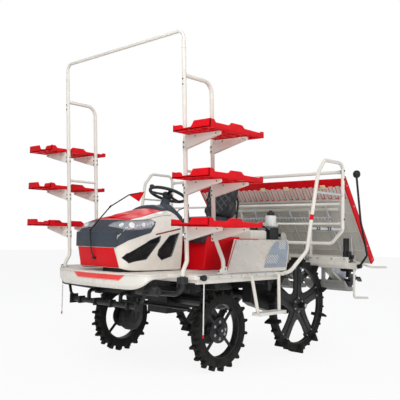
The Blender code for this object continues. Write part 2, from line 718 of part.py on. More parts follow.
def dash():
    """Dash behind the bonnet, with the steering column rising from it."""
    front = BONNET_REAR + RUNNING_GAP + 0.001
    cowl = BONNET_TOP_REAR + 0.012
    outline = [(front, DECK_TOP + GAP), (front, 1.150), (cowl, 1.255), (cowl, 1.325),
               (cowl + 0.033, 1.350), (front + 0.095, 1.250), (front + 0.085, DECK_TOP + GAP)]
    body = prism(outline, "X", -0.190, 0.190)
    axis = Vector((0.0, sin(radians(COLUMN_TILT)), cos(radians(COLUMN_TILT))))
    top = along(WHEEL_CENTRE, axis, -0.045)
    column = rod(along(top, axis, -COLUMN_LENGTH), top, 0.032, 12)
    collar = rod(along(top, axis, -COLUMN_LENGTH), along(top, axis, -0.060), 0.039, 12)
    piece("dash_column", fused(body, column, collar), "charcoal")


def steering_wheel():
    """Three-spoke steering wheel with a spinner knob."""
    tilt = Matrix.Rotation(radians(-COLUMN_TILT), 3, "X")
    centre = Vector(WHEEL_CENTRE)
    rim_sides = 20
    rim = turned([(WHEEL_RIM_RADIUS + WHEEL_RIM_TUBE * cos(radians(turn)),
                   WHEEL_RIM_TUBE * sin(radians(turn))) for turn in range(0, 360, 72)],
                 "Z", (0.0, 0.0, 0.0), rim_sides)
    shapes = [rim, turned([(0.0, -0.0447), (0.030, -0.0447), (0.036, -0.020), (0.036, 0.006),
                           (0.0, 0.012)], "Z", (0.0, 0.0, 0.0), 12)]
    for angle in (90.0, 215.0, 325.0):
        reach = Vector((cos(radians(angle)), sin(radians(angle)), 0.0))
        shapes.append(rod(reach * 0.020 + Vector((0.0, 0.0, -0.012)), reach * WHEEL_RIM_RADIUS,
                          0.010, 6))
    knob = Vector((-WHEEL_RIM_RADIUS * cos(radians(30.0)),
                   -WHEEL_RIM_RADIUS * sin(radians(30.0)), 0.0))
    shapes.append(turned([(0.0, 0.0), (0.010, 0.0), (0.010, 0.030), (0.023, 0.040),
                          (0.023, 0.062), (0.012, 0.070), (0.0, 0.070)], "Z", knob, 10))
    made = fused(*shapes)
    made.data.transform(Matrix.Translation(centre) @ tilt.to_4x4())
    piece("steering_wheel", made, "black", WHEEL_CENTRE)


def bonnet_skin():
    """Outer skin of the bonnet as an open sheet of columns across and rows back.

    Each row is half a section: (x, y, z) of its foot, waist, shoulder, edge and crown.
    """
    rows = [
        ((0.245, -0.757, BONNET_BOTTOM + 0.022), (0.240, -0.798, 0.990),
         (0.252, -0.797, 1.050), (0.248, -0.795, 1.090), (0.0, -0.794, 1.102)),
        ((0.285, -0.690, BONNET_BOTTOM + 0.006), (0.292, -0.700, 0.990),
         (0.292, -0.705, 1.105), (0.255, -0.672, 1.190), (0.0, -0.680, 1.207)),
        ((0.300, -0.520, BONNET_BOTTOM), (0.306, -0.520, 0.990), (0.302, -0.520, 1.128),
         (0.262, -0.510, 1.222), (0.0, -0.510, 1.260)),
        ((0.302, -0.350, BONNET_BOTTOM), (0.306, -0.350, 0.990), (0.302, -0.350, 1.162),
         (0.250, -0.345, 1.262), (0.0, -0.345, 1.305)),
        ((0.298, BONNET_REAR - 0.030, BONNET_BOTTOM), (0.302, BONNET_REAR - 0.020, 0.990),
         (0.298, BONNET_REAR - 0.028, 1.178), (0.240, BONNET_TOP_REAR + 0.005, 1.282),
         (0.0, BONNET_TOP_REAR, 1.322)),
    ]
    bm = bmesh.new()
    grid = []
    for row in rows:
        left = [bm.verts.new(point) for point in row]
        right = [bm.verts.new((-x, y, z)) for x, y, z in reversed(row[:-1])]
        grid.append(left + right)
    for near, far in zip(grid, grid[1:]):
        for index in range(len(near) - 1):
            bm.faces.new((near[index], near[index + 1], far[index + 1], far[index]))
    face = grid[0]
    count = len(face)
    for low in range((count - 1) // 2 - 1):
        high = low + 1
        bm.faces.new((face[low], face[count - 1 - low], face[count - 1 - high], face[high]))
    middle = (count - 1) // 2
    bm.faces.new((face[middle - 1], face[middle + 1], face[middle]))
    return shape(bm)


def thickened(sheet, wall):
    """Give a sheet a wall that lies inside its outer skin."""
    modifier = sheet.modifiers.new("wall", "SOLIDIFY")
    modifier.thickness = wall
    modifier.offset = -1.0
    modifier.use_even_offset = True
    evaluated = sheet.evaluated_get(bpy.context.evaluated_depsgraph_get())
    mesh = bpy.data.meshes.new_from_object(evaluated)
    sheet.modifiers.clear()
    sheet.data = mesh
    return sheet


def lamp_prism(side, margin):
    """Block through the bonnet's front corner, the outline of a wrap-round headlight."""
    outline = [(-0.130, 1.150), (-0.075, 1.190), (0.081, 1.203), (0.215, 1.214), (0.240, 1.192),
               (0.205, 1.140), (0.023, 1.118)]
    middle = (0.070, 1.165)
    swell = 1.0 + margin / 0.030
    outline = [(middle[0] + (across - middle[0]) * swell, middle[1] + (height - middle[1]) * swell)
               for across, height in outline]
    made = prism([(side * across, height) for across, height in outline], "Y", -0.20, 0.22)
    turn = Matrix.Rotation(radians(45.0 * side), 4, "Z")
    place = Matrix.Translation((side * 0.262, -0.740, 0.0))
    made.data.transform(place @ turn)
    return made


def bonnet():
    """Hollow bonnet that tips forward on two hinge barrels, with cut side vents."""
    shell = thickened(bonnet_skin(), BONNET_WALL)
    cutters = []
    vents = ([(-0.750, 0.910), (-0.721, 0.941), (-0.496, 1.049), (-0.388, 1.082),
              (-0.398, 1.042), (-0.534, 0.899), (-0.699, 0.871)],
             [(-0.416, 0.929), (-0.407, 0.969), (-0.286, 1.083), (-0.172, 1.112),
              (-0.258, 0.919), (-0.371, 0.889)])
    for outline in vents:
        cutters.append(prism(outline, "X", -0.40, 0.40))
    for side in (1, -1):
        cutters.append(lamp_prism(side, 2 * GAP))
    shell = cut(shell, *cutters)
    parts = [shell]
    for side in (1, -1):
        parts.append(rod((side * HINGE_BARREL_IN, HINGE_Y, HINGE_Z),
                         (side * HINGE_BARREL_OUT, HINGE_Y, HINGE_Z), HINGE_RADIUS))
        leaf = [(HINGE_Y - 0.010, HINGE_Z - 0.006), (HINGE_Y, HINGE_Z - 0.006),
                (HINGE_Y, HINGE_Z + 0.008), (HINGE_Y - 0.026, HINGE_Z + 0.044),
                (HINGE_Y - 0.035, HINGE_Z + 0.044), (HINGE_Y - 0.033, HINGE_Z + 0.018)]
        parts.append(prism(leaf, "X", side * (HINGE_BARREL_IN + 0.004),
                           side * (HINGE_BARREL_OUT - 0.004)))
        lug_x = MAST_FOOT[0] + side * 0.0243
        parts.append(prism([(MAST_FOOT[1] - 0.012, MAST_FOOT[2] - 0.010),
                            (MAST_FOOT[1] - 0.012, MAST_FOOT[2] + 0.010),
                            (-0.765, MAST_FOOT[2] + 0.020), (-0.765, MAST_FOOT[2] - 0.020)],
                           "X", lug_x - 0.004, lug_x + 0.004))
    piece("bonnet", fused(*parts), "cream", (0.0, HINGE_Y, HINGE_Z))


def headlight(side_name, side):
    """Headlight lens: the part of the bonnet's skin inside the lamp outline."""
    shell = thickened(bonnet_skin(), BONNET_WALL)
    made = combined(shell, [lamp_prism(side, 0.0)], "INTERSECT")
    piece(f"headlight_{side_name}", made, "lens", (0.0, HINGE_Y, HINGE_Z), "bonnet")


def guide_mast():
    """Centre sighting mast, folded back over the bonnet, with its target plate."""
    x_place, foot_y, foot_z = MAST_FOOT
    mast = tube([(x_place, foot_y, foot_z), (x_place, -0.822, 0.960), (x_place, -0.838, 1.120),
                 (x_place, -0.640, 1.315), (x_place, -0.440, 1.425), (x_place, -0.300, 1.452)],
                0.005, 0.08, 8)
    boss = rod((x_place - 0.020, foot_y, foot_z), (x_place + 0.020, foot_y, foot_z), 0.009, 10)
    target = prism([(-0.440, 1.420), (-0.270, 1.462), (-0.330, 1.372)], "X",
                   x_place - 0.0025, x_place + 0.0025)
    piece("guide_mast", fused(mast, boss, target), "black", MAST_FOOT, "bonnet")


def side_marker(side_name, side):
    """Thin marker rod hanging from the deck's edge, folded down for parking."""
    pivot_x = DECK_HALF + GAP + MARKER_BOSS
    pivot_y = -0.490
    pivot_z = DECK_TOP - 0.0175
    boss = rod((side * pivot_x, pivot_y - 0.012, pivot_z), (side * pivot_x, pivot_y + 0.012,
                                                            pivot_z), MARKER_BOSS, 12)
    stem = rod((side * pivot_x, pivot_y, pivot_z), (side * pivot_x, pivot_y, 0.350), 0.005, 8)
    piece(f"side_marker_{side_name}", fused(boss, stem), "steel",
          (side * pivot_x, pivot_y, pivot_z))


def ladder(side_name, side):
    """Boarding step hung from the deck's edge."""
    edge = DECK_HALF + GAP
    middle = DECK_TOP - DECK_THICKNESS / 2
    shapes = []
    for top_y, foot_y in ((0.060, 0.075), (0.430, 0.355)):
        shapes.append(tube([(side * edge, top_y, middle), (side * (edge + 0.030), top_y, middle),
                            (side * (edge + 0.090), foot_y, 0.480)], 0.014, 0.03))
    shapes.append(block(sorted((side * (edge + 0.055), side * (edge + 0.140))), (0.040, 0.390),
                        (0.472, 0.494)))
    piece(f"ladder_{side_name}", fused(*shapes), "cream")


# Racks, rails and shelves

def rack_y(base, height):
    """Where a leaning rack post stands along Y at a height."""
    return base - RACK_LEAN * (height - 1.0)


def shelf_bracket(side, post_y, shelf_z):
    """Tapered channel from a post out under a shelf."""
    top = shelf_z - GAP
    outline = [(side * (RACK_X - 0.006), top - 0.105), (side * (RACK_X - 0.006), top - 0.040),
               (side * SHELF_IN, top), (side * (SHELF_OUT - 0.050), top),
               (side * (SHELF_OUT - 0.050), top - 0.024)]
    return prism(outline, "Y", post_y - 0.013, post_y + 0.013)


def rack(side_name, side):
    """One side frame of the seedling rack: front post, rear hoop, rung and brackets."""
    x_place = side * RACK_X
    front = tube([(side * RACK_FOOT_X, RACK_FOOT_Y, RACK_FOOT_Z + GAP),
                  (side * RACK_FOOT_X, RACK_FOOT_Y, 0.825),
                  (x_place, rack_y(RACK_FRONT_Y, 0.90), 0.900),
                  (x_place, rack_y(RACK_FRONT_Y, RACK_POST_TOP), RACK_POST_TOP)], RACK_TUBE)
    rear = tube([(x_place, rack_y(RACK_FRONT_Y, RACK_HOOP_TOP), RACK_HOOP_TOP),
                 (x_place, rack_y(RACK_REAR_Y, RACK_HOOP_TOP), RACK_HOOP_TOP),
                 (x_place, rack_y(RACK_REAR_Y, 1.100), 1.100),
                 (side * RACK_REAR_FOOT_X, RACK_REAR_FOOT_Y, 0.900),
                 (side * RACK_REAR_FOOT_X, RACK_REAR_FOOT_Y, DECK_TOP + GAP)], RACK_TUBE, 0.09)
    rung = rod((x_place, rack_y(RACK_FRONT_Y, RACK_RUNG_Z), RACK_RUNG_Z),
               (x_place, rack_y(RACK_REAR_Y, RACK_RUNG_Z), RACK_RUNG_Z), 0.011, 8)
    gusset = prism([(RACK_REAR_FOOT_Y - 0.090, DECK_TOP + GAP),
                    (RACK_REAR_FOOT_Y + 0.030, DECK_TOP + GAP),
                    (RACK_REAR_FOOT_Y + 0.030, DECK_TOP + 0.055),
                    (RACK_REAR_FOOT_Y - 0.012, DECK_TOP + 0.062)], "X",
                   side * (RACK_REAR_FOOT_X + 0.008), side * (RACK_REAR_FOOT_X + 0.014))
    shapes = [front, rear, rung, gusset]
    for _, shelf_z in SHELF_HEIGHTS:
        for base in (RACK_FRONT_Y, RACK_REAR_Y):
            shapes.append(shelf_bracket(side, rack_y(base, shelf_z - 0.06), shelf_z))
    piece(f"rack_frame_{side_name}", fused(*shapes), "cream")


def rack_top_bar():
    """Crossbar that joins both racks, its ends standing on the front posts."""
    foot_y = rack_y(RACK_FRONT_Y, RACK_POST_TOP)
    top_y = rack_y(RACK_FRONT_Y, RACK_BAR_TOP)
    made = tube([(RACK_X, foot_y, RACK_POST_TOP + GAP), (RACK_X, top_y, RACK_BAR_TOP),
                 (-RACK_X, top_y, RACK_BAR_TOP), (-RACK_X, foot_y, RACK_POST_TOP + GAP)],
                RACK_BAR_TUBE)
    piece("rack_top_bar", made, "cream")


def shelf(side_name, side, level, shelf_z):
    """Seedling shelf: a tray with a dipped front lip, a high outer lip and slots."""
    top = shelf_z + SHELF_BASE
    inner = side * SHELF_IN
    outer = side * SHELF_OUT
    tray = block(sorted((inner, outer)), (SHELF_FRONT, SHELF_REAR), (shelf_z, top))
    lip = [(0.0, shelf_z + 0.002), (0.0, top + 0.035), (0.22, top + 0.035), (0.28, top + 0.008),
           (0.50, top + 0.012), (0.57, top + 0.052), (1.0, top + 0.052), (1.0, shelf_z + 0.002)]
    front = prism([(inner + (outer - inner) * share, height) for share, height in lip], "Y",
                  SHELF_FRONT, SHELF_FRONT + SHELF_WALL)
    side_outline = [(SHELF_FRONT, shelf_z + 0.002), (SHELF_FRONT, top + 0.052),
                    (SHELF_FRONT + 0.060, top + 0.030), (-0.520, top + 0.030),
                    (-0.500, top + 0.052), (-0.380, top + 0.052), (-0.350, top + 0.030),
                    (-0.170, top + 0.026), (-0.150, top + 0.038), (SHELF_REAR, top + 0.038),
                    (SHELF_REAR, shelf_z + 0.002)]
    outside = prism(side_outline, "X", outer - side * SHELF_WALL, outer)
    inside = prism([(y, z - 0.012 if z > top else z) for y, z in side_outline], "X", inner,
                   inner + side * SHELF_WALL)
    back = block(sorted((inner, outer)), (SHELF_REAR - SHELF_WALL, SHELF_REAR),
                 (shelf_z + 0.002, top + 0.026))
    piece(f"seedling_shelf_{side_name}_{level}", fused(tray, front, outside, inside, back), "red")


def handrail(side_name, side):
    """Handrail hoop beside the rear wheel, carried by the deck and the rear body."""
    middle = DECK_TOP - DECK_THICKNESS / 2
    path = [(DECK_HALF + GAP, 0.465, middle), (DECK_HALF + 0.040, 0.465, middle),
            (HOOP_X - 0.125, 0.475, 0.805), (HOOP_X - 0.030, 0.580, 0.980),
            (HOOP_X, 0.700, 1.650), (HOOP_X, 0.800, HOOP_TOP), (HOOP_X, HOOP_REAR_Y, HOOP_TOP),
            (HOOP_X, HOOP_REAR_Y, 1.160), (HOOP_X - 0.120, HOOP_REAR_Y + 0.010, 1.040),
            (BODY_HALF + GAP, HOOP_REAR_Y + 0.010, 1.040)]
    hoop = tube([(side * x, y, z) for x, y, z in path], HOOP_TUBE, 0.07)
    rungs = []
    for start_x, start_y, end_x, height in ((HOOP_X - 0.006, 0.670, HOOP_X, 1.480),
                                            (HOOP_X - 0.020, 0.612, HOOP_X - 0.002, 1.170)):
        rungs.append(rod((side * start_x, start_y, height), (side * end_x, HOOP_REAR_Y, height),
                         0.010, 8))
    piece(f"handrail_{side_name}", fused(hoop, *rungs), "cream")


def guard_rail(level, height, radius):
    """Bar across the rear, between the handrails."""
    end = HOOP_X - HOOP_TUBE - GAP
    piece(f"guard_rail_{level}", rod((-end, HOOP_REAR_Y, height), (end, HOOP_REAR_Y, height),
                                     radius), "cream")


# Lift linkage

def link_end(pivot_z):
    """Rear pin of a raised link whose front pivot has this height."""
    return along((0.0, LINK_Y, pivot_z), swing_direction(LINK_RAISED), LINK_LENGTH)


def lower_link():
    """Two bars between their cross shafts, with the lugs for the lift cylinder."""
    pivot = Vector((0.0, LINK_Y, LOWER_PIVOT_Z))
    way = swing_direction(LINK_RAISED)
    end = link_end(LOWER_PIVOT_Z)
    reach = BRACKET_IN - GAP
    shapes = [rod(pivot - Vector((reach, 0, 0)), pivot + Vector((reach, 0, 0)), 0.022, 12),
              rod(end - Vector((reach, 0, 0)), end + Vector((reach, 0, 0)), 0.020, 12)]
    normal = swing_direction(LINK_RAISED + 90.0)
    cross = along(pivot, way, LIFT_ARM + 0.085)
    shapes.append(rod(cross - Vector((0.14, 0, 0)), cross + Vector((0.14, 0, 0)), 0.016, 10))
    for side in (1, -1):
        bar = []
        for distance, height in ((-0.010, 0.020), (-0.010, -0.020), (LINK_LENGTH + 0.01, -0.018),
                                 (LINK_LENGTH + 0.01, 0.018)):
            place = pivot + way * distance + normal * height
            bar.append((place.y, place.z))
        shapes.append(prism(bar, "X", side * 0.130, side * 0.154))
        lug_outline = []
        for distance, height in ((LIFT_ARM - 0.020, -LIFT_ARM_DROP + 0.012),
                                 (LIFT_ARM - 0.020, -LIFT_ARM_DROP - 0.012),
                                 (LIFT_ARM + 0.006, -LIFT_ARM_DROP - 0.024),
                                 (LIFT_ARM + 0.030, -LIFT_ARM_DROP - 0.010),
                                 (LIFT_ARM + 0.095, -0.010), (LIFT_ARM + 0.095, 0.010),
                                 (LIFT_ARM + 0.070, 0.010)):
            place = pivot + way * distance + normal * height
            lug_outline.append((place.y, place.z))
        shapes.append(prism(lug_outline, "X", side * (EYE_HALF + GAP), side * (EYE_HALF + 0.010)))
    piece("lower_link", fused(*shapes), "black", pivot)


def upper_link():
    """Top bar of the lift linkage."""
    pivot = Vector((0.0, LINK_Y, UPPER_PIVOT_Z))
    end = link_end(UPPER_PIVOT_Z)
    reach = BRACKET_IN - GAP
    shapes = [rod(pivot - Vector((reach, 0, 0)), pivot + Vector((reach, 0, 0)), 0.018, 12),
              rod(end - Vector((reach, 0, 0)), end + Vector((reach, 0, 0)), 0.018, 12),
              rod(pivot, end, 0.015, 10)]
    piece("upper_link", fused(*shapes), "black", pivot)


def lift_cylinder():
    """Lift cylinder: barrel on the chassis foot and rod up to the lower link's lugs."""
    foot = Vector((0.0, CYLINDER_FOOT_Y, CYLINDER_FOOT_Z))
    eye = along(along((0.0, LINK_Y, LOWER_PIVOT_Z), swing_direction(LINK_RAISED), LIFT_ARM),
                swing_direction(LINK_RAISED - 90.0), LIFT_ARM_DROP)
    way = (eye - foot).normalized()
    reach = (eye - foot).length
    across = Vector((EYE_HALF, 0.0, 0.0))
    barrel = cut(fused(rod(foot - across, foot + across, 0.020, 12),
                       rod(foot, along(foot, way, 0.050), 0.018, 12),
                       rod(along(foot, way, 0.042), along(foot, way, reach * 0.62), 0.027, 14)),
                 rod(along(foot, way, 0.048), along(foot, way, reach), 0.0158, 12))
    piece("lift_cylinder_barrel", barrel, "black", foot)
    plunger = fused(rod(along(foot, way, 0.195), eye, 0.0140, 12),
                    rod(eye - across, eye + across, 0.018, 12))
    piece("lift_cylinder_rod", plunger, "steel", eye, "lift_cylinder_barrel")


# Planting unit

def beam_y():
    """The cross beam's place behind the raised links."""
    return link_end(LOWER_PIVOT_Z).y + 0.117


def platform_point(down, out, x_place=0.0):
    """Point on the seedling platform: down its slope and out of its underside."""
    slope = Vector((0.0, PLATFORM_FOOT_Y - PLATFORM_TOP_Y, PLATFORM_FOOT_Z - PLATFORM_TOP_Z))
    slope.normalize()
    normal = Vector((0.0, -slope.z, slope.y))
    top = Vector((x_place, PLATFORM_TOP_Y, PLATFORM_TOP_Z))
    return top + slope * down + normal * out


def platform_length():
    """Length of the seedling platform along its slope."""
    return hypot(PLATFORM_FOOT_Y - PLATFORM_TOP_Y, PLATFORM_FOOT_Z - PLATFORM_TOP_Z)


def sloped_plate(down_span, out_span, x_span):
    """Rectangular bar lying on the platform's slope."""
    outline = []
    for down, out in ((down_span[0], out_span[0]), (down_span[1], out_span[0]),
                      (down_span[1], out_span[1]), (down_span[0], out_span[1])):
        place = platform_point(down, out)
        outline.append((place.y, place.z))
    return prism(outline, "X", *x_span)


def planter_frame():
    """Cross beam, hitch plates, planting cases, platform rails and guard rods."""
    y_place = beam_y()
    half = BEAM_HEIGHT / 2
    beam_top = BEAM_CENTRE_Z + half
    beam_bottom = BEAM_CENTRE_Z - half
    shapes = [block((-BEAM_HALF, BEAM_HALF), (y_place - half, y_place + half),
                    (beam_bottom, beam_top))]
    lower = link_end(LOWER_PIVOT_Z)
    upper = link_end(UPPER_PIVOT_Z)
    hitch = [(lower.y - 0.028, lower.z - 0.028), (lower.y - 0.028, upper.z + 0.020),
             (upper.y, upper.z + 0.032), (upper.y + 0.040, upper.z + 0.015),
             (y_place + 0.020, beam_top - 0.005), (y_place + 0.020, beam_bottom + 0.010)]
    for side in (1, -1):
        shapes.append(prism(hitch, "X", side * BRACKET_IN, side * (BRACKET_IN + BRACKET_PLATE)))
    rail_places = []
    rail_half = Vector((PLATFORM_HALF - PLATFORM_EDGE - PLATFORM_SHIFT - RUNNING_GAP, 0.0, 0.0))
    for down in (0.300, 0.900):
        place = platform_point(down, -(RAIL_TUBE + GAP))
        rail_places.append(place)
        shapes.append(rod(place - rail_half, place + rail_half, RAIL_TUBE))
    high, low = rail_places
    for side in (1, -1):
        shapes.append(tube([(side * 0.450, y_place, BEAM_CENTRE_Z),
                            (side * 0.450, y_place - 0.01, high.z - 0.10),
                            (side * 0.450, high.y, high.z)], 0.0145, 0.1))
        shapes.append(tube([(side * 0.950, y_place - 0.015, BEAM_CENTRE_Z),
                            (side * 0.950, y_place - 0.015, 0.515),
                            (side * 0.950, y_place + 0.260, 0.495)], GUARD_ROD, 0.03))
        shapes.append(tube([(side * (rail_half.x - 0.045), low.y, low.z),
                            (side * (rail_half.x + 0.005), low.y, low.z - 0.045),
                            (side * 0.950, low.y + 0.040, low.z - 0.094),
                            (side * 0.950, REAR_END, 0.790)], GUARD_ROD, 0.04))
    case = [(y_place - 0.010, beam_bottom + 0.010), (y_place - 0.010, beam_top - 0.008),
            (y_place + 0.250, low.z + 0.004), (low.y, low.z), (low.y + 0.020, low.z - 0.020),
            (ROTOR_Y + 0.040, ROTOR_Z + 0.030), (ROTOR_Y + 0.040, ROTOR_Z - 0.020),
            (ROTOR_Y, ROTOR_Z - 0.034), (ROTOR_Y - 0.060, ROTOR_Z - 0.020),
            (y_place + 0.110, 0.735), (y_place + 0.035, beam_bottom + 0.003)]
    for _, centre in ROW_CENTRES:
        shapes.append(prism(case, "X", centre - 0.040, centre + 0.040))
    made = fused(*shapes)
    bores = [rod((centre - 0.06, ROTOR_Y, ROTOR_Z), (centre + 0.06, ROTOR_Y, ROTOR_Z),
                 ROTOR_SHAFT + BORE_GAP, 12) for _, centre in ROW_CENTRES]
    piece("planter_frame", cut(made, *bores), "cream", lower, "lower_link")


def rotor(name, centre):
    """Planting rotor: a shaft with a planet case and two planting claws on each side."""
    shapes = [rod((centre - 0.120, ROTOR_Y, ROTOR_Z), (centre + 0.120, ROTOR_Y, ROTOR_Z),
                  ROTOR_SHAFT, 12)]
    for side in (1, -1):
        case = []
        for turn, radius in ((25.0, 0.078), (0.0, 0.086), (-25.0, 0.078), (-90.0, 0.036),
                             (-155.0, 0.078), (180.0, 0.086), (155.0, 0.078), (90.0, 0.036)):
            angle = radians(turn + 35.0)
            case.append((ROTOR_Y + radius * cos(angle), ROTOR_Z + radius * sin(angle)))
        shapes.append(prism(case, "X", centre + side * 0.090, centre + side * 0.134))
        for half_turn in (0.0, 180.0):
            claw = []
            for turn, radius in ((22.0, 0.050), (-8.0, 0.046), (-30.0, 0.080), (-42.0, 0.118),
                                 (-34.0, ROTOR_RADIUS), (-10.0, 0.092)):
                angle = radians(turn + 35.0 + half_turn)
                claw.append((ROTOR_Y + radius * cos(angle), ROTOR_Z + radius * sin(angle)))
            shapes.append(prism(claw, "X", centre + side * 0.128, centre + side * 0.172))
    piece(f"planting_rotor_{name}", fused(*shapes), "black", (centre, ROTOR_Y, ROTOR_Z),
          "planter_frame")


def platform():
    """Seedling platform: a ribbed cream board and its red upper board with side edges."""
    length = platform_length()
    inner_half = PLATFORM_HALF - PLATFORM_EDGE
    lane = 2 * inner_half / LANES
    comb_foot = 0.180
    comb = [(-inner_half, length), (-inner_half, 0.050)]
    for slot in range(4 * LANES):
        start = -inner_half + (slot + 0.30) * lane / 4
        end = start + 0.40 * lane / 4
        comb += [(start, 0.050), (start, comb_foot), (end, comb_foot), (end, 0.050)]
    comb += [(inner_half, 0.050), (inner_half, length)]
    rings = []
    for out in (0.0, PLATFORM_BOARD):
        rings.append([platform_point(down, out, x_place) for x_place, down in comb])
    board = loft(rings)
    shapes = [board]
    for wall in range(LANES + 1):
        centre = -inner_half + 0.005 + wall * (2 * inner_half - 0.010) / LANES
        shapes.append(sloped_plate((0.300, length - 0.004), (PLATFORM_BOARD - 0.004, 0.052),
                                   (centre - 0.004, centre + 0.004)))
    shapes.append(sloped_plate((length - 0.010, length), (PLATFORM_BOARD - 0.004, 0.040),
                               (-inner_half + 0.002, inner_half - 0.002)))
    piece("seedling_platform", fused(*shapes), "cream", platform_point(0.30, 0.0),
          "planter_frame")
    upper_out = PLATFORM_BOARD + GAP
    red = [sloped_plate((-0.030, 0.280), (upper_out, upper_out + 0.010),
                        (-PLATFORM_HALF + 0.002, PLATFORM_HALF - 0.002))]
    for side in (1, -1):
        red.append(sloped_plate((-0.030, length), (-0.006, 0.060),
                                sorted((side * (inner_half + GAP), side * PLATFORM_HALF))))
    piece("platform_upper_board", fused(*red), "red", platform_point(0.30, 0.0),
          "seedling_platform")


def float_board(name, centre):
    """Grey float under the planting unit, wide in front and narrow between the rows."""
    side_float = centre != 0.0
    front = beam_y() - (0.005 if side_float else 0.190)
    half = 0.235 if side_float else 0.285
    neck = beam_y() + 0.170
    profile = [(front, FLOAT_TOP + 0.055), (front + 0.015, FLOAT_TOP + 0.070),
               (front + 0.090, FLOAT_TOP), (neck, FLOAT_TOP), (neck, FLOAT_BOTTOM),
               (front + 0.110, FLOAT_BOTTOM), (front + 0.040, FLOAT_BOTTOM + 0.030)]
    wide = prism(profile, "X", centre - half, centre + half)
    tail = prism([(neck - 0.02, FLOAT_TOP - 0.003), (FLOAT_REAR - 0.05, FLOAT_TOP - 0.003),
                  (FLOAT_REAR, FLOAT_BOTTOM + 0.018), (FLOAT_REAR - 0.01, FLOAT_BOTTOM + 0.001),
                  (neck - 0.02, FLOAT_BOTTOM + 0.001)], "X", centre - 0.085, centre + 0.085)
    post = block((centre - 0.015, centre + 0.015), (beam_y() - 0.020, beam_y() + 0.010),
                 (FLOAT_BOTTOM + 0.02, BEAM_CENTRE_Z - BEAM_HEIGHT / 2 - GAP))
    piece(f"float_{name}", fused(wide, tail, post), "grey", (0.0, 0.0, 0.0), None)
    made = bpy.data.objects[f"float_{name}"]
    carrier = "planter_frame"
    made.parent = bpy.data.objects[carrier]
    made.location = -pivots[carrier]


def line_marker(side_name, side):
    """Line marker arm folded up beside the planting unit, with its disc hub."""
    y_place = beam_y()
    pivot = (side * MARKER_PIVOT_X, y_place, MARKER_PIVOT_Z)
    boss = rod((pivot[0], y_place - 0.020, pivot[2]), (pivot[0], y_place + 0.020, pivot[2]),
               MARKER_BOSS, 16)
    outer = side * (MARKER_PIVOT_X + 0.115)
    tip = (outer, y_place - 0.280, 1.690)
    arm = tube([pivot, (outer - side * 0.020, y_place - 0.030, 0.930),
                (outer, y_place - 0.200, 1.250), tip], 0.010, 0.06, 8)
    bulb = turned([(0.0, -0.036), (0.022, -0.030), (0.034, -0.008), (0.034, 0.010),
                   (0.020, 0.032), (0.0, 0.036)], "Z", tip, 12)
    piece(f"line_marker_{side_name}", fused(boss, arm, bulb), "black", pivot, "planter_frame")


def build():
    """Model the whole machine."""
    clear_scene()
    machine = bpy.data.objects.new("machine_frame", None)
    machine.location = (0.0, -ORIGIN_FROM_FRONT_AXLE, 0.0)
    bpy.context.scene.collection.objects.link(machine)
    chassis()
    engine()
    front_axle()
    tie_rod()
    rear_axle()
    bumper()
    deck()
    seat_base()
    rear_body()
    seat()
    dash()
    steering_wheel()
    bonnet()
    guide_mast()
    rack_top_bar()
    for side_name, side in SIDES:
        knuckle(side_name, side)
        front_wheel(side_name, side)
        rear_wheel(side_name, side)
        fender(side_name, side)
        headlight(side_name, side)
        side_marker(side_name, side)
        ladder(side_name, side)
        rack(side_name, side)
        handrail(side_name, side)
        for level, shelf_z in SHELF_HEIGHTS:
            shelf(side_name, side, level, shelf_z)
    for level, height, radius in GUARD_RAILS:
        guard_rail(level, height, radius)
    lower_link()
    upper_link()
    lift_cylinder()
    planter_frame()
    platform()
    for name, centre in ROW_CENTRES:
        rotor(name, centre)
        float_board(name, centre)
    for side_name, side in SIDES:
        line_marker(side_name, side)


build()
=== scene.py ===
"""Looks of the riding rice transplanter, laid out as a Blender add-on.

Lengths are metres and angles are degrees. The machine drives towards -Y, +Z is up and +X
is the driver's left. Pieces are shaped with their places along Y measured from the front
axle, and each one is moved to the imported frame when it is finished.
"""

from math import ceil
from math import cos
from math import degrees
from math import pi
from math import radians
from math import sin
from math import tan

import bpy
from bpy.props import FloatVectorProperty
from bpy.props import IntProperty
from bpy.props import PointerProperty
from mathutils import Matrix
from mathutils import Vector


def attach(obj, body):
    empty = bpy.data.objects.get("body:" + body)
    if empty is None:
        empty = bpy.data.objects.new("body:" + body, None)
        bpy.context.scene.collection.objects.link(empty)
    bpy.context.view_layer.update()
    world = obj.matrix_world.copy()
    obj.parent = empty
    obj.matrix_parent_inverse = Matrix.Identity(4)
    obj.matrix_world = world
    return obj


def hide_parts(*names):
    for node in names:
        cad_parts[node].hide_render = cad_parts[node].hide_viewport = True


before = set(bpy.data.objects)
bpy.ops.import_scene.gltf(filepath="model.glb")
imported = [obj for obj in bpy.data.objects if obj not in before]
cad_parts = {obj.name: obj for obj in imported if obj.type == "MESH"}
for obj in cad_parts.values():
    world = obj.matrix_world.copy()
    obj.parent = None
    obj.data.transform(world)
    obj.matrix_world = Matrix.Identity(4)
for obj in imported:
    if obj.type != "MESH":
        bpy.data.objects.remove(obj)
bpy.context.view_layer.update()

bl_info = {
    "name": "Rice Transplanter Looks",
    "version": (1, 0, 0),
    "blender": (4, 5, 0),
    "location": "View3D > Sidebar > Transplanter",
    "description": "Paint, rubber, lamps, panels and fittings of a riding rice transplanter",
    "category": "Object",
}

FRONT_AXLE_Y = -0.7275
ORIGIN = (0.0, 0.0, 0.0)
SIDES = (("left", 1), ("right", -1))
AXES = {"X": Vector((1, 0, 0)), "Y": Vector((0, 1, 0)), "Z": Vector((0, 0, 1))}

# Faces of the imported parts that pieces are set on
DECK_FACE = 0.8003
DECK_SIDE = 0.8603
HOUSING_FACE = 1.0655


# Modelling steps

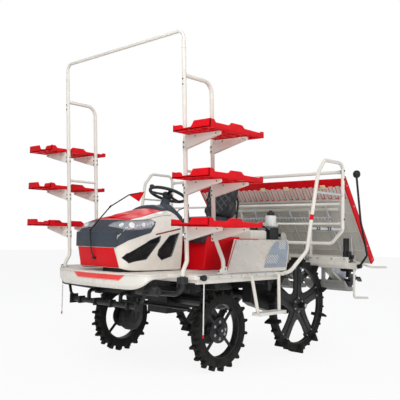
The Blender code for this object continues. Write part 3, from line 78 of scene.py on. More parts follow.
def choose(*objects):
    """Leave edit mode and select only these objects, the first one active."""
    active = bpy.context.view_layer.objects.active
    if active is not None and active.mode != "OBJECT":
        bpy.ops.object.mode_set(mode="OBJECT")
    bpy.ops.object.select_all(action="DESELECT")
    for chosen in objects:
        chosen.select_set(True)
    if objects:
        bpy.context.view_layer.objects.active = objects[0]


def added():
    """The primitive just added, with its size and turn applied to its mesh."""
    made = bpy.context.view_layer.objects.active
    choose(made)
    bpy.ops.object.transform_apply(location=True, rotation=True, scale=True)
    return made


def modified(made, kind, **settings):
    """Apply one modifier."""
    choose(made)
    modifier = made.modifiers.new(kind.lower(), kind)
    for setting, value in settings.items():
        setattr(modifier, setting, value)
    bpy.ops.object.modifier_apply(modifier=modifier.name)
    return made


def eased(made, width, segments=2, angle=30.0):
    """Round the edges that are sharper than an angle."""
    if width <= 0:
        return made
    return modified(made, "BEVEL", width=width, segments=segments, limit_method="ANGLE",
                    angle_limit=radians(angle))


def around(middle, half):
    """The span of a part that reaches equally far to both sides of its middle."""
    return middle - half, middle + half


def slab(x_span, y_span, z_span, edge=0.002, segments=2):
    """A rectangular part with eased edges."""
    choose()
    spans = [sorted(span) for span in (x_span, y_span, z_span)]
    bpy.ops.mesh.primitive_cube_add(size=1.0, location=[(low + high) / 2 for low, high in spans],
                                    scale=[high - low for low, high in spans])
    return eased(added(), edge, segments)


def bar(start, end, radius, sides=20, edge=0.0):
    """A round bar between two points."""
    choose()
    start, end = Vector(start), Vector(end)
    turn = (end - start).to_track_quat("Z", "Y").to_euler()
    bpy.ops.mesh.primitive_cone_add(vertices=sides, radius1=radius, radius2=radius,
                                    depth=(end - start).length, location=(start + end) / 2,
                                    rotation=turn)
    return eased(added(), edge, 2, 50.0)


def bend_points(corners, bend, step=12.0):
    """Points along a path whose corners are rounded to a bend radius."""
    corners = [Vector(corner) for corner in corners]
    points = [corners[0]]
    for before, corner, after in zip(corners, corners[1:], corners[2:]):
        arriving = (corner - before).normalized()
        leaving = (after - corner).normalized()
        turn = arriving.angle(leaving)
        if turn < radians(3.0):
            points.append(corner)
            continue
        back = min(bend * tan(turn / 2), 0.48 * (corner - before).length,
                   0.48 * (after - corner).length)
        axis = arriving.cross(leaving).normalized()
        start = corner - arriving * back
        centre = start + axis.cross(arriving) * back / tan(turn / 2)
        steps = max(2, ceil(degrees(turn) / step))
        for count in range(steps + 1):
            points.append(centre + Matrix.Rotation(turn * count / steps, 3, axis)
                          @ (start - centre))
    points.append(corners[-1])
    return points


def pipe(corners, radius, bend=0.06, detail=4, closed=False):
    """A round tube bent along a path: a curve with a round bevel, made a mesh."""
    choose()
    points = [Vector(corner) for corner in corners] if closed else bend_points(corners, bend)
    bpy.ops.curve.primitive_nurbs_path_add()
    made = bpy.context.view_layer.objects.active
    made.data.splines.clear()
    spline = made.data.splines.new("POLY")
    spline.points.add(len(points) - 1)
    for place, point in zip(spline.points, points):
        place.co = (*point, 1.0)
    spline.use_cyclic_u = closed
    made.data.bevel_depth = radius
    made.data.bevel_resolution = detail
    made.data.use_fill_caps = not closed
    bpy.ops.object.convert(target="MESH")
    return added()


def outline_face(outline, axis, depth):
    """A flat face in the shape of an outline, from a disc of as many corners."""
    choose()
    bpy.ops.mesh.primitive_circle_add(vertices=len(outline), radius=1.0, fill_type="NGON")
    made = added()
    for corner, (first, second) in zip(made.data.vertices, outline):
        place = {"X": (depth, first, second), "Y": (first, depth, second),
                 "Z": (first, second, depth)}[axis]
        corner.co = place
    return made


def plate(outline, axis, start, end, edge=0.0015, segments=2, angle=30.0):
    """An outline extruded along an axis, with eased edges."""
    made = outline_face(outline, axis, start)
    choose(made)
    bpy.ops.object.mode_set(mode="EDIT")
    bpy.ops.mesh.select_all(action="SELECT")
    step = (end - start) * AXES[axis]
    bpy.ops.mesh.extrude_region_move(TRANSFORM_OT_translate={"value": step})
    bpy.ops.mesh.select_all(action="SELECT")
    bpy.ops.mesh.normals_make_consistent(inside=False)
    bpy.ops.object.mode_set(mode="OBJECT")
    return eased(made, edge, segments, angle)


def spun(profile, axis, centre, steps=32):
    """A profile of (radius, distance along the axis) spun round an axis."""
    choose()
    bpy.ops.mesh.primitive_circle_add(vertices=len(profile), radius=1.0, fill_type="NOTHING")
    made = added()
    centre = Vector(centre)
    along = AXES[axis]
    outward = AXES["X" if axis == "Z" else "Z"]
    for corner, (radius, distance) in zip(made.data.vertices, profile):
        corner.co = centre + along * distance + outward * radius
    bpy.ops.object.mode_set(mode="EDIT")
    bpy.ops.mesh.select_all(action="SELECT")
    bpy.ops.mesh.spin(steps=steps, angle=2 * pi, center=centre, axis=along)
    bpy.ops.mesh.select_all(action="SELECT")
    bpy.ops.mesh.remove_doubles(threshold=0.00002)
    bpy.ops.mesh.normals_make_consistent(inside=False)
    bpy.ops.object.mode_set(mode="OBJECT")
    return made


def skin(columns, rows, place, wall=0.0):
    """A grid whose points are placed by a function of (across, along), each 0 to 1."""
    choose()
    bpy.ops.mesh.primitive_grid_add(x_subdivisions=columns, y_subdivisions=rows, size=2.0)
    made = added()
    for corner in made.data.vertices:
        corner.co = place((corner.co.x + 1) / 2, (corner.co.y + 1) / 2)
    made.data.update()
    if wall:
        modified(made, "SOLIDIFY", thickness=abs(wall), offset=-1.0 if wall > 0 else 1.0,
                 use_even_offset=True)
    return made


def joined(*parts):
    """Join several shapes into one mesh."""
    if len(parts) == 1:
        return parts[0]
    choose(*parts)
    bpy.ops.object.join()
    return bpy.context.view_layer.objects.active


def carved(base, *cutters):
    """Cut shapes out of a base."""
    for cutter in cutters:
        modified(base, "BOOLEAN", operation="DIFFERENCE", solver="EXACT", object=cutter)
        choose(cutter)
        bpy.ops.object.delete()
    return base


def placed(made, matrix):
    """Move a shape by a matrix and apply it to the mesh."""
    made.matrix_world = matrix @ made.matrix_world
    choose(made)
    bpy.ops.object.transform_apply(location=True, rotation=True, scale=True)
    return made


def tilted_to(direction, place):
    """Matrix that turns local Z to a direction and moves to a place."""
    turn = Vector(direction).to_track_quat("Z", "Y").to_matrix().to_4x4()
    return Matrix.Translation(Vector(place)) @ turn


def copied(made, matrix=None):
    """A copy with its own mesh, moved by a matrix."""
    choose(made)
    bpy.ops.object.duplicate()
    twin = bpy.context.view_layer.objects.active
    return twin if matrix is None else placed(twin, matrix)


def mirrored(made):
    """A mirror image across the machine's middle plane, with its faces still outward."""
    twin = copied(made)
    for corner in twin.data.vertices:
        corner.co.x = -corner.co.x
    choose(twin)
    bpy.ops.object.mode_set(mode="EDIT")
    bpy.ops.mesh.select_all(action="SELECT")
    bpy.ops.mesh.flip_normals()
    bpy.ops.object.mode_set(mode="OBJECT")
    return twin


def ring_of(made, axis, centre, count, start=0.0):
    """Copies of a shape round an axis; the first is the shape itself, the rest turn by start."""
    parts = [made]
    centre = Vector(centre)
    for index in range(1, count):
        turn = Matrix.Rotation(radians(start + 360.0 * index / count), 4, axis)
        parts.append(copied(made, Matrix.Translation(centre) @ turn @ Matrix.Translation(-centre)))
    return joined(*parts)


def bolt(centre, direction, size=0.006, height=0.005):
    """A hexagon head with a washer."""
    centre, direction = Vector(centre), Vector(direction).normalized()
    head = bar(centre, centre + direction * height, size, 6, size * 0.12)
    washer = bar(centre, centre + direction * height * 0.3, size * 1.45, 16)
    return joined(head, washer)


def finished(name, made, paint, body, smooth=35.0, replaces=()):
    """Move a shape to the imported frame, name it, paint it and let it ride on its body."""
    choose(made)
    bpy.ops.transform.translate(value=(0.0, FRONT_AXLE_Y, 0.0))
    bpy.ops.object.transform_apply(location=True, rotation=True, scale=True)
    bpy.ops.object.shade_smooth_by_angle(angle=radians(smooth))
    made.name = name
    made.data.name = name
    made.data.materials.clear()
    made.data.materials.append(PAINTS[paint])
    if replaces:
        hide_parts(*replaces)
    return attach(made, body)


def sided(name, made, paint, body, smooth=35.0, replaces=None):
    """Finish a shape of the driver's left side and its mirror image on the right.

    name, body and replaces may hold the word SIDE, which stands for left and right.
    """
    for (side, _), shape in zip(SIDES, (made, mirrored(made))):
        node = (replaces.replace("SIDE", side),) if replaces else ()
        finished(name.replace("SIDE", side), shape, paint, body.replace("SIDE", side),
                 smooth, node)


# Materials

class Shading:
    """Builds one procedural material node by node."""

    def __init__(self, name, roughness=0.5, metallic=0.0, coat=0.0):
        self.material = bpy.data.materials.new(name)
        self.material.use_nodes = True
        self.tree = self.material.node_tree
        self.shader = self.tree.nodes["Principled BSDF"]
        self.shader.inputs["Roughness"].default_value = roughness
        self.shader.inputs["Metallic"].default_value = metallic
        self.shader.inputs["Coat Weight"].default_value = coat
        self.place = self.node("ShaderNodeTexCoord").outputs["Object"]

    def node(self, kind, **settings):
        made = self.tree.nodes.new(kind)
        for setting, value in settings.items():
            setattr(made, setting, value)
        return made

    def link(self, value, socket):
        if isinstance(value, (int, float)):
            socket.default_value = value
        elif isinstance(value, tuple):
            socket.default_value = (*value, 1.0)[:4]
        else:
            self.tree.links.new(value, socket)

    def noise(self, scale, detail=4.0, roughness=0.55, stretch=(1.0, 1.0, 1.0)):
        mapping = self.node("ShaderNodeMapping")
        mapping.inputs["Scale"].default_value = stretch
        self.link(self.place, mapping.inputs["Vector"])
        made = self.node("ShaderNodeTexNoise")
        made.inputs["Scale"].default_value = scale
        made.inputs["Detail"].default_value = detail
        made.inputs["Roughness"].default_value = roughness
        self.link(mapping.outputs["Vector"], made.inputs["Vector"])
        return made.outputs["Fac"]

    def ramp(self, value, low, high, to_low=0.0, to_high=1.0):
        made = self.node("ShaderNodeMapRange")
        for socket, number in zip(("From Min", "From Max", "To Min", "To Max"),
                                  (low, high, to_low, to_high)):
            made.inputs[socket].default_value = number
        self.link(value, made.inputs["Value"])
        return made.outputs["Result"]

    def math(self, operation, first, second):
        made = self.node("ShaderNodeMath", operation=operation)
        self.link(first, made.inputs[0])
        self.link(second, made.inputs[1])
        return made.outputs["Value"]

    def mix(self, amount, first, second):
        made = self.node("ShaderNodeMix", data_type="RGBA")
        self.link(amount, made.inputs["Factor"])
        self.link(first, made.inputs["A"])
        self.link(second, made.inputs["B"])
        return made.outputs["Result"]

    def axis(self, name):
        split = self.node("ShaderNodeSeparateXYZ")
        self.link(self.place, split.inputs["Vector"])
        return split.outputs[name]

    def colour(self, value):
        self.link(value, self.shader.inputs["Base Color"])

    def rough(self, value):
        self.link(value, self.shader.inputs["Roughness"])

    def bump(self, height, strength, distance=0.001):
        made = self.node("ShaderNodeBump")
        made.inputs["Strength"].default_value = strength
        made.inputs["Distance"].default_value = distance
        self.link(height, made.inputs["Height"])
        self.link(made.outputs["Normal"], self.shader.inputs["Normal"])


def scaled(colour, factor):
    """A darker or lighter shade of a colour."""
    return tuple(part * factor for part in colour)


def finish(name, colour, shade, roughness, patch=6.0, grain=400.0, grain_depth=0.15,
           dust=0.0, metallic=0.0, coat=0.0, stretch=(1.0, 1.0, 1.0), scuffs=0.0, gloss=0.5):
    """Surface with soft patches of a second shade, fine grain and dust near the ground."""
    made = Shading(name, roughness, metallic, coat)
    made.shader.inputs["Specular IOR Level"].default_value = gloss
    patches = made.ramp(made.noise(patch), 0.35, 0.65)
    painted = made.mix(patches, colour, shade)
    if scuffs:
        marks = made.ramp(made.noise(38.0, 6.0, 0.7), 0.66, 0.72, 0.0, scuffs)
        painted = made.mix(marks, painted, tuple(min(1.0, 0.35 + part * 0.6) for part in colour))
    if dust:
        height = made.ramp(made.axis("Z"), 0.0, 0.75, dust, 0.0)
        specks = made.ramp(made.noise(14.0, 6.0, 0.65), 0.42, 0.70)
        painted = made.mix(made.math("MULTIPLY", height, specks), painted, (0.30, 0.26, 0.20))
    made.colour(painted)
    made.rough(made.ramp(made.noise(patch * 3), 0.3, 0.7, roughness * 0.85,
                         min(1.0, roughness * 1.2)))
    made.bump(made.noise(grain, 2.0, 0.5, stretch), grain_depth, 0.0006)
    return made.material


def deck_tread(cream):
    """Cream deck with a checker of small raised bars, painted darker on the bars as painted shade
    of the tread.
    """
    made = Shading("deck_tread", 0.45)
    waves = []
    for name in ("X", "Y"):
        turned = made.math("MULTIPLY", made.axis(name), 2 * pi / 0.022)
        waves.append(made.math("SINE", turned, 0.0))
    bars = made.math("MULTIPLY", waves[0], waves[1])
    raised = made.ramp(bars, 0.05, 0.45)
    worn = made.ramp(made.noise(7.0), 0.35, 0.7)
    base = made.mix(worn, cream, scaled(cream, 0.86))
    # Painted shade: the raised bars are mixed towards a darker cream, standing in for the shade of
    # the tread's relief.
    made.colour(made.mix(made.math("MULTIPLY", raised, 0.35), base, scaled(cream, 0.62)))
    made.rough(made.ramp(made.noise(30.0), 0.3, 0.7, 0.38, 0.55))
    made.bump(raised, 0.5, 0.0012)
    return made.material


def clear_lens():
    """Clear lamp cover: mostly see-through, with a faint tint and a glossy face."""
    made = Shading("lens", 0.04)
    tint = made.mix(made.ramp(made.noise(20.0), 0.3, 0.7), (0.95, 0.97, 1.0), (0.90, 0.93, 0.97))
    made.colour(tint)
    made.shader.inputs["IOR"].default_value = 1.45
    made.shader.inputs["Alpha"].default_value = 0.10
    return made.material


def finishes(look):
    """Every finish of the machine, by name."""
    cream, red, charcoal = tuple(look.cream), tuple(look.red), tuple(look.charcoal)
    made = {}

    def add(name, *values, **options):
        made[name] = finish(name, *values, **options)
    add("cream_paint", cream, scaled(cream, 0.93), 0.34, 5.0, 260.0, 0.06, 0.10, coat=0.15)
    add("cream_shell", cream, scaled(cream, 0.96), 0.26, 3.0, 180.0, 0.03, 0.0, coat=0.35)
    add("cream_plastic", scaled(cream, 0.82), scaled(cream, 0.70), 0.48, 4.0, 500.0, 0.12, 0.15)
    add("red_paint", red, (red[0] * 0.90, red[1], red[2]), 0.36, 4.0, 200.0, 0.04, gloss=0.16)
    add("red_plastic", red, (red[0] * 0.84, red[1] * 0.8, red[2]), 0.46, 9.0, 600.0, 0.14,
        scuffs=0.05, gloss=0.14)
    add("black_paint", (0.006, 0.006, 0.007), (0.011, 0.011, 0.012), 0.42, 8.0, 300.0, 0.10,
        0.06, scuffs=0.06, gloss=0.35)
    add("rubber", (0.005, 0.005, 0.005), (0.010, 0.0095, 0.009), 0.72, 10.0, 700.0, 0.30, 0.06,
        gloss=0.25)
    add("charcoal", charcoal, scaled(charcoal, 1.25), 0.42, 6.0, 900.0, 0.22, gloss=0.28)
    add("dark_plastic", (0.020, 0.022, 0.025), (0.030, 0.032, 0.035), 0.50, 7.0, 900.0, 0.22,
        gloss=0.3)
    add("grey_plastic", (0.32, 0.32, 0.30), (0.25, 0.25, 0.23), 0.55, 5.0, 500.0, 0.15, 0.15)
    add("grip_pad", (0.36, 0.41, 0.47), (0.31, 0.36, 0.42), 0.70, 12.0, 1200.0, 0.45)
    add("vinyl", (0.020, 0.021, 0.024), (0.032, 0.033, 0.036), 0.46, 9.0, 1100.0, 0.30)
    add("steel", (0.62, 0.62, 0.63), (0.48, 0.48, 0.49), 0.30, 12.0, 500.0, 0.10, metallic=0.95,
        stretch=(1.0, 1.0, 0.15))
    add("zinc", (0.52, 0.54, 0.57), (0.40, 0.42, 0.45), 0.42, 22.0, 300.0, 0.10, metallic=0.75)
    add("iron", (0.030, 0.030, 0.032), (0.055, 0.055, 0.056), 0.55, 14.0, 420.0, 0.4, 0.08, 0.4)
    add("rib_grey", (0.085, 0.090, 0.095), (0.12, 0.125, 0.13), 0.38, 12.0, 700.0, 0.12)
    add("screen", (0.012, 0.016, 0.020), (0.020, 0.026, 0.032), 0.14, 20.0, 200.0, 0.02)
    add("label_yellow", (0.80, 0.66, 0.22), (0.86, 0.80, 0.62), 0.40, 40.0, 300.0, 0.04)
    add("dark_red", (0.24, 0.012, 0.016), (0.20, 0.010, 0.014), 0.35, 4.0, 300.0, 0.05)
    add("coral", (0.86, 0.055, 0.040), (0.80, 0.045, 0.034), 0.32, 5.0, 300.0, 0.04)
    add("chrome", (0.50, 0.51, 0.54), (0.36, 0.38, 0.42), 0.22, 30.0, 200.0, 0.05, metallic=0.9)
    add("lamp_white", (0.92, 0.92, 0.90), (0.84, 0.85, 0.86), 0.18, 60.0, 200.0, 0.04)
    add("galvanised", (0.66, 0.67, 0.68), (0.55, 0.56, 0.58), 0.48, 24.0, 260.0, 0.12,
        metallic=0.35)
    add("dark_metal", (0.13, 0.13, 0.14), (0.20, 0.20, 0.21), 0.42, 18.0, 400.0, 0.10,
        metallic=0.6)
    add("white_plastic", (0.78, 0.78, 0.76), (0.68, 0.68, 0.65), 0.35, 6.0, 500.0, 0.06)
    made["deck_tread"] = deck_tread(cream)
    made["lens"] = clear_lens()
    return made


def node_finishes():
    """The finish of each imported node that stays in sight."""
    named = {
        "chassis_frame": "black_paint", "engine_block": "iron", "front_axle_case": "black_paint",
        "rear_axle_case": "black_paint", "front_bumper": "black_paint",
        "floor_deck": "cream_paint", "seat_base": "red_paint", "rear_body": "cream_paint",
        "seat": "vinyl", "dash_column": "charcoal", "steering_wheel": "dark_plastic",
        "bonnet": "cream_shell", "guide_mast": "black_paint", "rack_top_bar": "cream_paint",
        "tie_rod": "black_paint", "lower_link": "black_paint", "upper_link": "black_paint",
        "lift_cylinder_barrel": "black_paint", "lift_cylinder_rod": "steel",
        "planter_frame": "cream_paint", "seedling_platform": "cream_plastic",
        "platform_upper_board": "red_plastic",
    }
    for level in ("bottom", "middle", "top"):
        named[f"guard_rail_{level}"] = "cream_paint"
    for place in ("left", "centre", "right"):
        named[f"float_{place}"] = "grey_plastic"
        named[f"planting_rotor_{place}"] = "black_paint"
    for side, _ in SIDES:
        for node, kind in (("fender", "cream_shell"), ("headlight", "zinc"),
                           ("side_marker", "steel"), ("ladder", "cream_paint"),
                           ("rack_frame", "cream_paint"), ("handrail", "cream_paint"),
                           ("knuckle", "black_paint"), ("front_wheel", "rubber"),
                           ("rear_wheel", "rubber"), ("line_marker", "black_paint")):
            named[f"{node}_{side}"] = kind
        for level in ("top", "middle", "bottom"):
            named[f"seedling_shelf_{side}_{level}"] = "red_plastic"
    return named


class TransplanterLook(bpy.types.PropertyGroup):
    """Colours that a user would change."""

    front_lugs: IntProperty(name="Front Lugs", description="Lugs on each side of a front tyre",
                            default=18, min=8, max=40)
    rear_paddles: IntProperty(name="Rear Paddles", description="Wide paddles of a rear wheel",
                              default=10, min=5, max=20)
    cream: FloatVectorProperty(name="Cream", description="Cream paint of tubes and panels",
                               subtype="COLOR", size=3, default=(0.80, 0.77, 0.69), min=0, max=1)
    red: FloatVectorProperty(name="Red", description="Red of shelves and body panels",
                             subtype="COLOR", size=3, default=(0.76, 0.004, 0.010), min=0, max=1)
    charcoal: FloatVectorProperty(name="Charcoal", description="Charcoal of visor and dash",
                                  subtype="COLOR", size=3, default=(0.042, 0.052, 0.066),
                                  min=0, max=1)


class TRANSPLANTER_OT_paint_nodes(bpy.types.Operator):
    """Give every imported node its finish"""

    bl_idname = "transplanter.paint_nodes"
    bl_label = "Paint Packed Nodes"

    def execute(self, context):
        for node, kind in node_finishes().items():
            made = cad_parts[node]
            made.data.materials.clear()
            made.data.materials.append(PAINTS[kind])
        return {"FINISHED"}


# Bonnet

BONNET_ROWS = (
    ((0.245, -0.757, 0.830), (0.240, -0.798, 0.990), (0.252, -0.797, 1.050),
     (0.248, -0.795, 1.090), (0.0, -0.794, 1.102)),
    ((0.285, -0.690, 0.814), (0.292, -0.700, 0.990), (0.292, -0.705, 1.105),
     (0.255, -0.672, 1.190), (0.0, -0.680, 1.207)),
    ((0.300, -0.520, 0.808), (0.306, -0.520, 0.990), (0.302, -0.520, 1.128),
     (0.262, -0.510, 1.222), (0.0, -0.510, 1.260)),
    ((0.302, -0.350, 0.808), (0.306, -0.350, 0.990), (0.302, -0.350, 1.162),
     (0.250, -0.345, 1.262), (0.0, -0.345, 1.305)),
    ((0.298, -0.142, 0.808), (0.302, -0.132, 0.990), (0.298, -0.140, 1.178),
     (0.240, -0.205, 1.282), (0.0, -0.210, 1.322)),
)


def spline(points, at):
    """Smooth curve through points, at a place counted in points."""
    last = len(points) - 1
    at = min(max(at, 0.0), float(last))
    index = min(int(at), last - 1)
    share = at - index
    near, far = Vector(points[index]), Vector(points[index + 1])
    before = Vector(points[index - 1]) if index else near * 2 - far
    after = Vector(points[index + 2]) if index + 2 <= last else far * 2 - near
    return 0.5 * (near * 2 + (far - before) * share
                  + (before * 2 - near * 5 + far * 4 - after) * share ** 2
                  + (near * 3 - before - far * 3 + after) * share ** 3)


def bonnet_skin(across, along, out=0.0):
    """Point on the bonnet: across is 0 at the crown and 4 at the left foot, along 0 to 4."""
    def plain(across, along):
        columns = []
        for row in BONNET_ROWS:
            left = list(reversed(row))
            right = [(-x, y, z) for x, y, z in row[:-1]]
            columns.append(spline(right + left, across + 4.0))
        return spline(columns, along)
    place = plain(across, along)
    if out:
        step = 0.02
        sideways = plain(min(across + step, 4.0), along) - plain(max(across - step, -4.0), along)
        lengthways = plain(across, min(along + step, 4.0)) - plain(across, max(along - step, 0.0))
        place = place + lengthways.cross(sideways).normalized() * -out
    return place


def bonnet_at(measure, target, guess, out=0.0):
    """Point of the bonnet at which two measures of a place have their target values."""
    across, along = guess
    for _ in range(14):
        here = Vector(measure(bonnet_skin(across, along)))
        miss = Vector(target) - here
        if miss.length < 0.00005:
            break
        by_across = (Vector(measure(bonnet_skin(across + 0.01, along))) - here) / 0.01
        by_along = (Vector(measure(bonnet_skin(across, along + 0.01))) - here) / 0.01
        size = by_across.x * by_along.y - by_across.y * by_along.x
        if abs(size) < 1e-9:
            break
        move_across = (miss.x * by_along.y - miss.y * by_along.x) / size
        move_along = (by_across.x * miss.y - by_across.y * miss.x) / size
        across = min(max(across + max(-0.5, min(0.5, move_across)), -3.99), 3.99)
        along = min(max(along + max(-0.5, min(0.5, move_along)), 0.0), 3.99)
    return bonnet_skin(across, along, out)


def bonnet_side(y_place, height, side, out=0.0):
    """Point on the bonnet's side at a place along Y and a height."""
    guess = (side * (3.0 - (height - 0.99) / 0.13), max(0.1, (y_place + 0.79) / 0.165))
    return bonnet_at(lambda at: (at.y, at.z), (y_place, height), guess, out)


def bonnet_top(x_place, y_place, out=0.0):
    """Point on the bonnet's top."""
    guess = (x_place / 0.25, max(0.1, (y_place + 0.79) / 0.145))
    return bonnet_at(lambda at: (at.x, at.y), (x_place, y_place), guess, out)


def lamp_point(diagonal, height, side, out=0.0):
    """Point on the wrap-round headlight: diagonal counts along a line at 45 degrees."""
    def measure(at):
        return (side * at.x + at.y + 0.478) / 2 ** 0.5, at.z
    guess = (side * (1.0 + 0.4 * max(0.0, diagonal * 8)), 0.55 + max(0.0, diagonal) * 9.0)
    return bonnet_at(measure, (diagonal, height), guess, out)


def along_line(line, share):
    """Point at a share of the length of a line of points."""
    points = [Vector(point) for point in line]
    lengths = [(far - near).length for near, far in zip(points, points[1:])]
    distance = share * sum(lengths)
    for near, far, length in zip(points, points[1:], lengths):
        if distance <= length:
            return near.lerp(far, distance / length)
        distance -= length
    return points[-1]


def between(lower, upper, share, height):
    """Point between two lines, at a share of their length and a share of the height."""
    return along_line(lower, share).lerp(along_line(upper, share), height)


FRONT_EDGE = ((-0.757, 0.830), (-0.798, 0.990), (-0.797, 1.050), (-0.794, 1.102))
FRONT_HALF = ((0.245, 0.830), (0.240, 0.990), (0.252, 1.050), (0.248, 1.102))


def front_place(x_place, height, out):
    """Point in front of the bonnet's front edge, gently swollen."""
    rim = along_line(FRONT_EDGE, (height - 0.830) / 0.272)
    swell = 0.010 * (1 - (x_place / 0.252) ** 2)
    swell *= min(1.0, (height - 0.822) / 0.10) * min(1.0, (1.110 - height) / 0.06)
    return Vector((x_place, rim.x - swell - out, height))


LAMP_LOWER = ((-0.130, 1.148), (-0.060, 1.133), (0.023, 1.118), (0.120, 1.124), (0.205, 1.140),
              (0.240, 1.190))
LAMP_UPPER = ((-0.130, 1.152), (-0.100, 1.178), (-0.060, 1.190), (0.081, 1.203), (0.205, 1.213),
              (0.240, 1.194))
# Lower and upper line of the front and the rear vent
VENTS = (
    (((-0.750, 0.910), (-0.699, 0.871), (-0.534, 0.899), (-0.398, 1.042), (-0.388, 1.082)),
     ((-0.750, 0.912), (-0.721, 0.941), (-0.496, 1.049), (-0.388, 1.084))),
    (((-0.416, 0.929), (-0.371, 0.889), (-0.258, 0.919), (-0.172, 1.110)),
     ((-0.416, 0.931), (-0.407, 0.969), (-0.286, 1.083), (-0.172, 1.114))),
)


class TRANSPLANTER_OT_add_bonnet(bpy.types.Operator):
    """Add the bonnet's moulded shell, red top, visor, front panel, vents and stripes"""

    bl_idname = "transplanter.add_bonnet"
    bl_label = "Add Bonnet"

    def execute(self, context):
        self.shell()
        self.front()
        self.visor()
        self.top()
        self.trims()
        self.vents()
        return {"FINISHED"}

    def shell(self):
        """Moulded shell with the vents cut out of it."""
        shell = skin(72, 56, lambda u, v: bonnet_skin(8 * u - 4, 4 * v), wall=0.006)
        cutters = []
        for lower, upper in VENTS:
            outline = list(lower) + list(reversed(upper[1:-1]))
            cutters.append(plate(outline, "X", -0.40, 0.40, edge=0))
        carved(shell, *cutters)
        eased(shell, 0.0015, 2, 40)
        finished("bonnet_shell", shell, "cream_shell", "bonnet_lid",
                 replaces=("bonnet",))

    def front(self):
        """Front wall and the red panel on its lower half."""
        def front_face(u, v):
            half = along_line(FRONT_HALF, v)
            return front_place(half.x * (2 * u - 1), 0.830 + 0.270 * v, 0.0008)
        face = skin(40, 24, front_face, wall=0.004)
        finished("bonnet_front", face, "cream_shell", "bonnet_lid")

        def red_panel(u, v):
            half = 0.244 - 0.020 * v
            return front_place(half * (2 * u - 1), 0.832 + 0.153 * v, 0.0046)
        panel = eased(skin(24, 8, red_panel, wall=0.004), 0.0012, 2, 50)
        finished("bonnet_front_panel", panel, "red_paint", "bonnet_lid")

    def visor(self):
        """Charcoal visor: ribbed band, brow and the two wings under the headlights."""
        def band(u, v):
            return front_place((0.2535 + 0.005 * v) * (2 * u - 1), 0.990 + 0.116 * v,
                               0.0062 + 0.0012 * sin(18 * pi * v))
        visor = [skin(32, 64, band, wall=0.004)]
        visor.append(skin(36, 14, lambda u, v: bonnet_skin(2.7 * u - 1.35, 0.02 + 0.98 * v, 0.002),
                          wall=0.003))
        lower = ((-0.7965, 0.991), (-0.716, 1.044), (-0.603, 1.078), (-0.498, 1.105),
                 (-0.446, 1.168))
        upper = ((-0.7940, 1.104), (-0.760, 1.128), (-0.700, 1.126), (-0.603, 1.130),
                 (-0.498, 1.143), (-0.446, 1.180))
        for side in (1, -1):
            def wing(u, v, side=side):
                y_place, height = between(lower, upper, u, v)
                return bonnet_side(y_place, height, side, 0.0028)
            visor.append(skin(28, 6, wing, wall=0.003 * side))
        finished("bonnet_visor", joined(*visor), "charcoal", "bonnet_lid")

    def top(self):
        """Red top panel with its scoop, and the cowl before the dash."""
        def red_top(u, v):
            y_place = -0.668 + 0.392 * v
            half = 0.236 - 0.030 * v
            return bonnet_top(half * (2 * u - 1), y_place, 0.0022)
        made = eased(skin(32, 28, red_top, wall=0.003), 0.0010, 2, 50)
        finished("bonnet_top", made, "red_paint", "bonnet_lid")

        def scoop(u, v):
            place = bonnet_top(0.062 * (2 * u - 1), -0.648 + 0.150 * v, 0.0015)
            rise = sin(pi * u) ** 0.6 * sin(pi * min(1.0, 0.08 + 0.92 * v)) ** 0.5
            return place + Vector((0.0, 0.0, 0.016 * rise))
        made = skin(20, 20, scoop, wall=0.002)
        finished("bonnet_scoop", made, "red_paint", "bonnet_lid", 60)

        def cowl(u, v):
            y_place = -0.285 + 0.071 * v
            rise = 0.026 * min(1.0, 3.5 * v) * sin(pi * u) ** 0.35
            return bonnet_top(0.198 * (2 * u - 1), y_place, 0.0035) + Vector((0, 0, rise))
        made = eased(skin(32, 12, cowl, wall=0.005), 0.0015, 2, 50)
        finished("bonnet_rear_cowl", made, "charcoal", "bonnet_lid")

    def trims(self):
        """Side stripes and the seams along the top."""
        stripes = []
        for side in (1, -1):
            def stripe(u, v, side=side):
                return bonnet_side(-0.440 + 0.285 * u, 1.088 + 0.052 * u + 0.011 * v, side, 0.0014)
            stripes.append(skin(20, 2, stripe, wall=0.0016 * side))
        finished("bonnet_stripes", joined(*stripes), "dark_red", "bonnet_lid")

        seams = []
        for side in (1, -1):
            points = [bonnet_skin(side * (1.04 + 0.22 * step / 14), 0.98 + 2.7 * step / 14, 0.0004)
                      for step in range(15)]
            seams.append(pipe(points, 0.0016, 0.2, 2))
        finished("bonnet_seams", joined(*seams), "dark_plastic", "bonnet_lid")

    def vents(self):
        """Wire meshes sunk in the side vents, and their rims."""
        meshes = []
        frames = []
        for lower_line, upper_line in VENTS:
            for side in (1, -1):
                def sunk(u, v, side=side, lower_line=lower_line, upper_line=upper_line):
                    y_place, height = between(lower_line, upper_line, 0.01 + 0.98 * u, v)
                    return bonnet_side(y_place, height, side, -0.009)
                net = skin(34, 9, sunk)
                modified(net, "WIREFRAME", thickness=0.0016, use_even_offset=False)
                meshes.append(net)
                rim = [bonnet_side(y, z, side, 0.0006)
                       for y, z in list(lower_line) + list(reversed(upper_line[1:-1]))]
                frames.append(pipe(rim, 0.0032, 0.1, 2, closed=True))
        finished("bonnet_vent_meshes", joined(*meshes), "dark_plastic", "bonnet_lid")
        finished("bonnet_vent_rims", joined(*frames), "charcoal", "bonnet_lid",
                 60)


